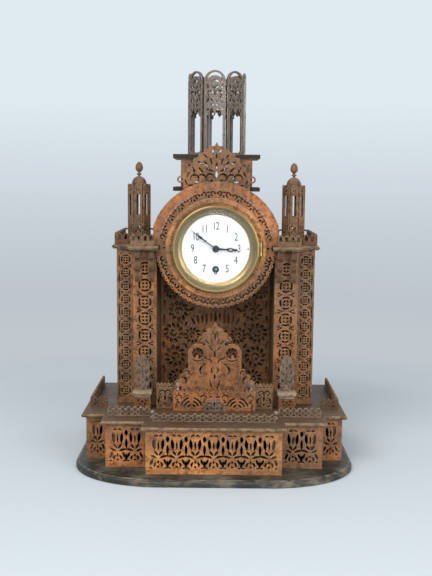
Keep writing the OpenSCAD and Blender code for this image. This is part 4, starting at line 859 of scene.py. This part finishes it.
@dataclass
class DialWork:
    """Bezel, glass, dial, numerals and hands on the drum's front.

    A profile's depth is counted from the dial's face, towards the back.

    Attributes:
        centre: Height of the dial's centre in metres.
        front: Y of the dial's face in metres.
        numeral_radius: Radius of the numerals' ring in millimetres.
        numeral_height: Height of the numerals in millimetres.
        numeral_em: Size of the type for numerals of height 1.
        numeral_width: How much the type is narrowed.
        numeral_gap: Room between two figures of one numeral, as a share of the type's own.
        drawn_in: How much the ring is drawn in at the hours in drawn_hours.
        drawn_hours: Those hours.
        ink_lift: Height of the numerals over the enamel in millimetres.
        dot_ring: Radius of the minute dots' ring in millimetres.
        dot_sides: Sides of a dot.
        hour_dot: Radius of each fifth dot in millimetres.
        minute_dot: Radius of the other dots in millimetres.
        dot_lift: Height of the dots over the enamel in millimetres.
        cap: Dome and foot of the turned cap that holds the hands.
        sleeve: Loop of the winding hole's dark sleeve, a collar on the face and a tube behind it.
        tip: Dome and foot of the winding square's tip.
        pin: Dome and foot of the small pin at the dial's edge at 3 o'clock.
        pin_ring: Distance of the pin from the dial's centre in millimetres.
        wind_drop: How far the winding hole lies under the dial's centre, in millimetres.
        brass: Finish of the bezel.
        blued: Finish of the hands and their cap.
        steel: Finish of the winding square's tip.
    """

    centre: float = 0.251
    front: float = -0.013
    numeral_radius: float = 27.0
    numeral_height: float = 9.4
    numeral_em: float = 1.38
    numeral_width: float = 0.68
    numeral_gap: float = 0.9
    drawn_in: float = 0.97
    drawn_hours: tuple[int, ...] = (11, 12, 1, 6)
    ink_lift: float = 0.06
    dot_ring: float = 36.2
    dot_sides: int = 10
    hour_dot: float = 0.42
    minute_dot: float = 0.24
    dot_lift: float = 0.05
    cap: tuple[Profile, Profile] = (
        ((0.0, -5.6), (1.5, -5.5), (2.5, -5.0), (3.0, -4.25)),
        ((2.9, -4.2), (0.0, -4.2)),
    )
    sleeve: Profile = (
        (2.6, 1.4), (2.6, -0.3), (2.85, -0.5), (3.75, -0.45),
        (4.0, -0.1), (4.0, -0.02), (3.2, -0.02), (3.2, 1.4),
    )
    tip: tuple[Profile, Profile] = (
        ((0.0, 0.12), (0.9, 0.14), (1.45, 0.25), (1.5, 0.45)),
        ((0.0, 0.45),),
    )
    pin: tuple[Profile, Profile] = (
        ((0.0, -0.5), (0.6, -0.47), (0.85, -0.25), (0.85, 0.05)),
        ((0.0, 0.05),),
    )
    pin_ring: float = 37.6
    wind_drop: float = 24.0
    brass: Metal = Metal(
        "aged_brass", (0.36, 0.255, 0.105), (0.25, 0.185, 0.080), 0.30, 0.08, 0.6, 0.01
    )
    blued: Metal = Metal("blued_steel", (0.030, 0.032, 0.042), (0.018, 0.018, 0.020), 0.42, 0.12)
    steel: Metal = Metal("bright_steel", (0.62, 0.61, 0.60), (0.40, 0.38, 0.36))

    def numerals(self) -> bpy.types.Object:
        """Plain upright numbers from 1 to 12, each a text made into a thin mesh.

        Returns:
            The joined numerals.
        """
        made = []
        for hour in range(1, 13):
            curve = bpy.data.curves.new(f"hour_{hour}", "FONT")
            curve.body = str(hour)
            curve.align_x = "CENTER"
            curve.align_y = "CENTER"
            curve.size = self.numeral_height * MM * self.numeral_em
            curve.space_character = self.numeral_gap
            text = linked(f"hour_{hour}", curve)
            shown = text.evaluated_get(bpy.context.evaluated_depsgraph_get())
            mesh = bpy.data.meshes.new_from_object(shown)
            bpy.data.objects.remove(text)
            count = len(mesh.vertices)
            flat = np.empty(count * 3, np.float32)
            mesh.vertices.foreach_get("co", flat)
            flat = flat.reshape(-1, 3)
            flat[:, 0] *= self.numeral_width
            angle = math.radians(30 * hour)
            share = self.drawn_in if hour in self.drawn_hours else 1.0
            radius = self.numeral_radius * MM * share
            x = flat[:, 0] + radius * math.sin(angle)
            y = np.full(count, self.front - self.ink_lift * MM)
            z = flat[:, 1] + self.centre + radius * math.cos(angle)
            world = np.stack([x, y, z], axis=-1)
            mesh.vertices.foreach_set("co", world.reshape(-1).astype(np.float32))
            made.append(linked(f"hour_{hour}", mesh))
        return join(made, "dial_numerals")

    def minute_dots(self) -> bpy.types.Object:
        """Sixty small round dots near the dial's edge, each fifth one larger.

        Returns:
            One mesh of 60 flat discs.
        """
        turn = np.linspace(0, 2 * np.pi, 60, endpoint=False)
        size = np.where(np.arange(60) % 5 == 0, self.hour_dot, self.minute_dot)
        ring = np.linspace(0, 2 * np.pi, self.dot_sides, endpoint=False)
        x = self.dot_ring * np.sin(turn)[:, None] + size[:, None] * np.cos(ring)[None]
        z = self.dot_ring * np.cos(turn)[:, None] + size[:, None] * np.sin(ring)[None]
        y = np.full_like(x, self.front - self.dot_lift * MM)
        points = np.stack([x * MM, y, z * MM + self.centre], axis=-1).reshape(-1, 3)
        discs = np.arange(60 * self.dot_sides).reshape(60, self.dot_sides)
        mesh = bpy.data.meshes.new("minute_dots")
        mesh.from_pydata(points.tolist(), [], discs.tolist())
        return linked("minute_dots", mesh)

    def button(
        self, name: str, parts: tuple[Profile, Profile], x: float, drop: float, sides: int
    ) -> bpy.types.Object:
        """A turned button on the dial: a dome with softened corners, closed by its straight foot.

        Args:
            name: The object's name.
            parts: Profiles of the dome and the foot.
            x: How far it lies to the right of the dial's centre, in millimetres.
            drop: How far it lies under the dial's centre, in millimetres.
            sides: Steps round its axis.

        Returns:
            The new object.
        """
        dome, foot = parts
        profile = np.vstack([rounded(dome), np.array(foot)])
        return lathe(name, profile, (x * MM, self.front, self.centre - drop * MM), sides)

    def winding_ring(self) -> bpy.types.Object:
        """The sleeve in the winding hole, turned as one piece."""
        middle = (0.0, self.front, self.centre - self.wind_drop * MM)
        return lathe("winding_sleeve", rounded(self.sleeve), middle, 48)

    def build(self) -> None:
        """Dress the dial's solids and add what is on it."""
        ink = PrintedInk("numeral_ink").material()
        dress("dial", Enamel("white_enamel").material())
        place(self.numerals(), "case", ink, "dial_enamel")
        place(self.minute_dots(), "case", ink, "dial_enamel")
        bezel = merged("bezel", "bezel_ring", TURNED_CREASE)
        place(bezel, "bezel", self.brass.material(), "brass", "bezel")
        glass = merged("bezel_glass", "bezel_dome", TURNED_CREASE)
        clear = ClearGlass("clear_glass").material()
        place(glass, "bezel", clear, "clear_glass", "bezel_glass")
        blued = self.blued.material()
        dress("minute_hand", blued)
        dress("hour_hand", blued)
        place(self.button("hand_cap", self.cap, 0.0, 0.0, 48), "minute", blued, "blued_steel")
        place(self.winding_ring(), "case", ink, "blued_steel")
        place(self.button("dial_pin", self.pin, self.pin_ring, 0.0, 24), "case", ink, "blued_steel")
        tip = self.button("winding_tip", self.tip, 0.0, self.wind_drop, 32)
        place(tip, "winding", self.steel.material(), "steel")


@dataclass
class Movement:
    """Drum, plates, wheels and arbors, all CAD solids as they are.

    Attributes:
        metals: Each metal with the nodes that are made of it.
    """

    metals: tuple[tuple[Metal, tuple[str, ...]], ...] = (
        (Metal("plate_brass", (0.56, 0.44, 0.20), (0.36, 0.28, 0.12), 0.25, 0.2),
         ("drum_case", "back_cap", "minute_wheel", "hour_wheel", "movement_plates", "pillars",
          "barrel", "centre_wheel", "third_wheel", "escape_wheel", "balance_wheel")),
        (Metal("turned_steel", (0.42, 0.41, 0.40), (0.22, 0.20, 0.18), 0.3, 0.2),
         ("case_screws", "hinge_pin", "cannon_pinion", "plate_nuts", "plate_screws", "click",
          "pallet_lever")),
        (Metal("spring_steel", (0.10, 0.12, 0.18), (0.05, 0.05, 0.06), 0.3, 0.2),
         ("mainspring", "hairspring")),
        (Metal("dull_steel", (0.085, 0.082, 0.080), (0.045, 0.042, 0.040), 0.4, 0.2),
         ("winding_arbor",)),
    )

    def build(self) -> None:
        """Dress the movement's solids."""
        for metal, nodes in self.metals:
            material = metal.material()
            for node in nodes:
                dress(node, material)


@dataclass(frozen=True)
class Lamp:
    """One soft square area lamp.

    Attributes:
        name: The lamp's name.
        where: Its place in metres.
        aim: The point that it faces.
        size: Its side in metres.
        power: Its power in watts.
    """

    name: str
    where: Triple
    aim: Triple
    size: float
    power: float

    def build(self) -> None:
        """Make the lamp and turn it to its aim."""
        data = bpy.data.lights.new(self.name, "AREA")
        data.size = self.size
        data.energy = self.power
        lamp = linked(self.name, data)
        lamp.location = self.where
        towards = Vector(self.aim) - Vector(self.where)
        lamp.rotation_euler = towards.to_track_quat("-Z", "Y").to_euler()


@dataclass
class Studio:
    """Floor, world, lamps and camera.

    Attributes:
        focal_px: Focal length in pixels of the image.
        pitch: Degrees the camera looks down.
        roll: Degrees of roll.
        yaw: Degrees the camera stands round to the object's right.
        distance: Metres before the object's middle.
        height: Metres above the floor.
        offset: Metres to the right of the object's middle.
        paper: Colour of the floor near the object.
        floor_stops: Place and colour of the floor's tones further out.
        horizon: Colour of the backdrop level with the eye.
        sky: Colour of the backdrop higher up.
        sky_height: Sine of the height at which the backdrop has that colour.
        soft_tint: Colour of the world's light.
        soft_light: Strength of the world's light.
        reach: Half the side of the floor in metres.
        lamps: The lamps.
    """

    focal_px: float = 850.0
    pitch: float = 7.14
    roll: float = 0.53
    yaw: float = 0.13
    distance: float = 0.9956
    height: float = 0.3284
    offset: float = 0.0006
    paper: Triple = (0.600, 0.655, 0.693)
    floor_stops: tuple[tuple[float, Triple], ...] = (
        (0.36, (0.520, 0.565, 0.610)),
        (0.47, (0.527, 0.578, 0.617)),
        (0.59, (0.509, 0.552, 0.597)),
        (0.85, (0.571, 0.631, 0.679)),
    )
    horizon: Triple = (0.630, 0.694, 0.752)
    sky: Triple = (0.740, 0.820, 0.880)
    sky_height: float = 0.09
    soft_tint: Triple = (0.93, 0.96, 1.0)
    soft_light: float = 0.55
    reach: float = 30.0
    lamps: tuple[Lamp, ...] = (
        Lamp("key", (-0.9, -1.3, 1.5), (0.0, 0.0, 0.2), 1.2, 25.0),
        Lamp("fill", (1.15, -1.25, 0.6), (0.0, 0.0, 0.2), 1.2, 15.5),
        Lamp("flash", (0.05, -1.15, 0.55), (0.0, 0.0, 0.25), 0.25, 3.0),
    )

    def camera(self) -> None:
        """Set the camera from the solved view of the photograph."""
        data = bpy.data.cameras.new("view")
        data.sensor_fit = "VERTICAL"
        data.sensor_height = SENSOR_HEIGHT
        data.lens = self.focal_px / IMAGE_HEIGHT * SENSOR_HEIGHT
        data.clip_start = 0.01
        data.clip_end = 60.0
        cam = linked("view", data)
        yaw = math.radians(self.yaw)
        c, s = math.cos(yaw), math.sin(yaw)
        x, y = self.offset, -self.distance
        cam.location = (x * c - y * s, x * s + y * c, self.height)
        turn = Euler((math.radians(90.0 - self.pitch), 0.0, yaw), "XYZ").to_matrix()
        spin = Euler((0.0, 0.0, math.radians(self.roll)), "XYZ").to_matrix()
        cam.rotation_euler = (turn @ spin).to_euler("XYZ")
        bpy.context.scene.camera = cam

    def floor(self) -> None:
        """A pale floor that keeps the shadow near the object and turns into the backdrop's tone.

        Its share of backdrop and its tone follow the distance r from the middle, as r / (r + 1).
        """
        sheet = NodeSheet("pale_floor")
        where = sheet.coordinates((1.0, 1.0, 0.0))
        cloud = sheet.noise(where, Pattern.FLOOR)
        sheet.feed("Base Color", sheet.blend(cloud, scaled(self.paper, 0.97), self.paper))
        sheet.set(Roughness=0.9)
        away = sheet.node("ShaderNodeVectorMath", {0: where}, operation="LENGTH").outputs["Value"]
        further = sheet.node("ShaderNodeMath", {0: away}, operation="ADD")
        further.inputs[1].default_value = 1.0
        links = {0: away, 1: further.outputs[0]}
        place_on = sheet.node("ShaderNodeMath", links, operation="DIVIDE").outputs[0]
        stops = [(0.29, self.paper), *self.floor_stops, (1.0, self.horizon)]
        glow = sheet.node("ShaderNodeEmission", {"Color": sheet.ramp(place_on, stops)})
        far = sheet.times(sheet.span(place_on, 0.0, 1.0, 0.30, 0.40), self.seen_by(sheet.tree))
        links = {0: far, 1: sheet.shader.outputs[0], 2: glow.outputs[0]}
        joined = sheet.node("ShaderNodeMixShader", links)
        sheet.tree.links.new(joined.outputs[0], sheet.output.inputs[0])
        x, y = np.meshgrid([-self.reach, self.reach], [-self.reach, self.reach])
        obj = grid_surface("floor", np.stack([x, y, 0 * x], axis=-1))
        if obj.data.polygons[0].normal.z < 0:
            obj.data.flip_normals()
        obj.data.materials.append(sheet.material)

    @staticmethod
    def seen_by(tree: bpy.types.NodeTree) -> Socket:
        """1 for camera, glossy and transmission rays and 0 for the rest.

        Args:
            tree: The tree that gets the nodes.

        Returns:
            The number's socket.
        """
        path = tree.nodes.new("ShaderNodeLightPath")
        total = path.outputs["Is Camera Ray"]
        for kind in ("Is Glossy Ray", "Is Transmission Ray"):
            added = tree.nodes.new("ShaderNodeMath")
            added.operation = "ADD"
            added.use_clamp = True
            tree.links.new(total, added.inputs[0])
            tree.links.new(path.outputs[kind], added.inputs[1])
            total = added.outputs[0]
        return total

    def world(self) -> None:
        """A pale world that brightens upwards, seen directly, in metal and through glass.

        The rest of the light that it gives is a plain soft one.
        """
        world = bpy.data.worlds.new("backdrop")
        bpy.context.scene.world = world
        world.use_nodes = True
        tree = world.node_tree
        tree.nodes.clear()
        out = tree.nodes.new("ShaderNodeOutputWorld")
        mix = tree.nodes.new("ShaderNodeMixShader")
        seen = tree.nodes.new("ShaderNodeBackground")
        soft = tree.nodes.new("ShaderNodeBackground")
        direction = tree.nodes.new("ShaderNodeTexCoord")
        parts = tree.nodes.new("ShaderNodeSeparateXYZ")
        tones = tree.nodes.new("ShaderNodeValToRGB")
        tones.color_ramp.elements[0].color = (*self.horizon, 1.0)
        tones.color_ramp.elements[1].position = self.sky_height
        tones.color_ramp.elements[1].color = (*self.sky, 1.0)
        soft.inputs["Color"].default_value = (*self.soft_tint, 1.0)
        soft.inputs["Strength"].default_value = self.soft_light
        tree.links.new(direction.outputs["Generated"], parts.inputs[0])
        tree.links.new(parts.outputs["Z"], tones.inputs[0])
        tree.links.new(tones.outputs[0], seen.inputs["Color"])
        tree.links.new(self.seen_by(tree), mix.inputs[0])
        tree.links.new(soft.outputs[0], mix.inputs[1])
        tree.links.new(seen.outputs[0], mix.inputs[2])
        tree.links.new(mix.outputs[0], out.inputs[0])

    def build(self) -> None:
        """Set up everything round the object."""
        self.floor()
        self.world()
        for lamp in self.lamps:
            lamp.build()
        self.camera()
        bpy.context.scene.view_settings.view_transform = "Standard"


def main() -> None:
    """Build each sub-assembly in order."""
    logging.basicConfig(level=logging.INFO, format="%(message)s")
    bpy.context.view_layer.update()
    for part in (Fretwork(), DialWork(), Movement(), Studio()):
        log.info("building %s", type(part).__name__)
        part.build()


if __name__ == "__main__":
    main()
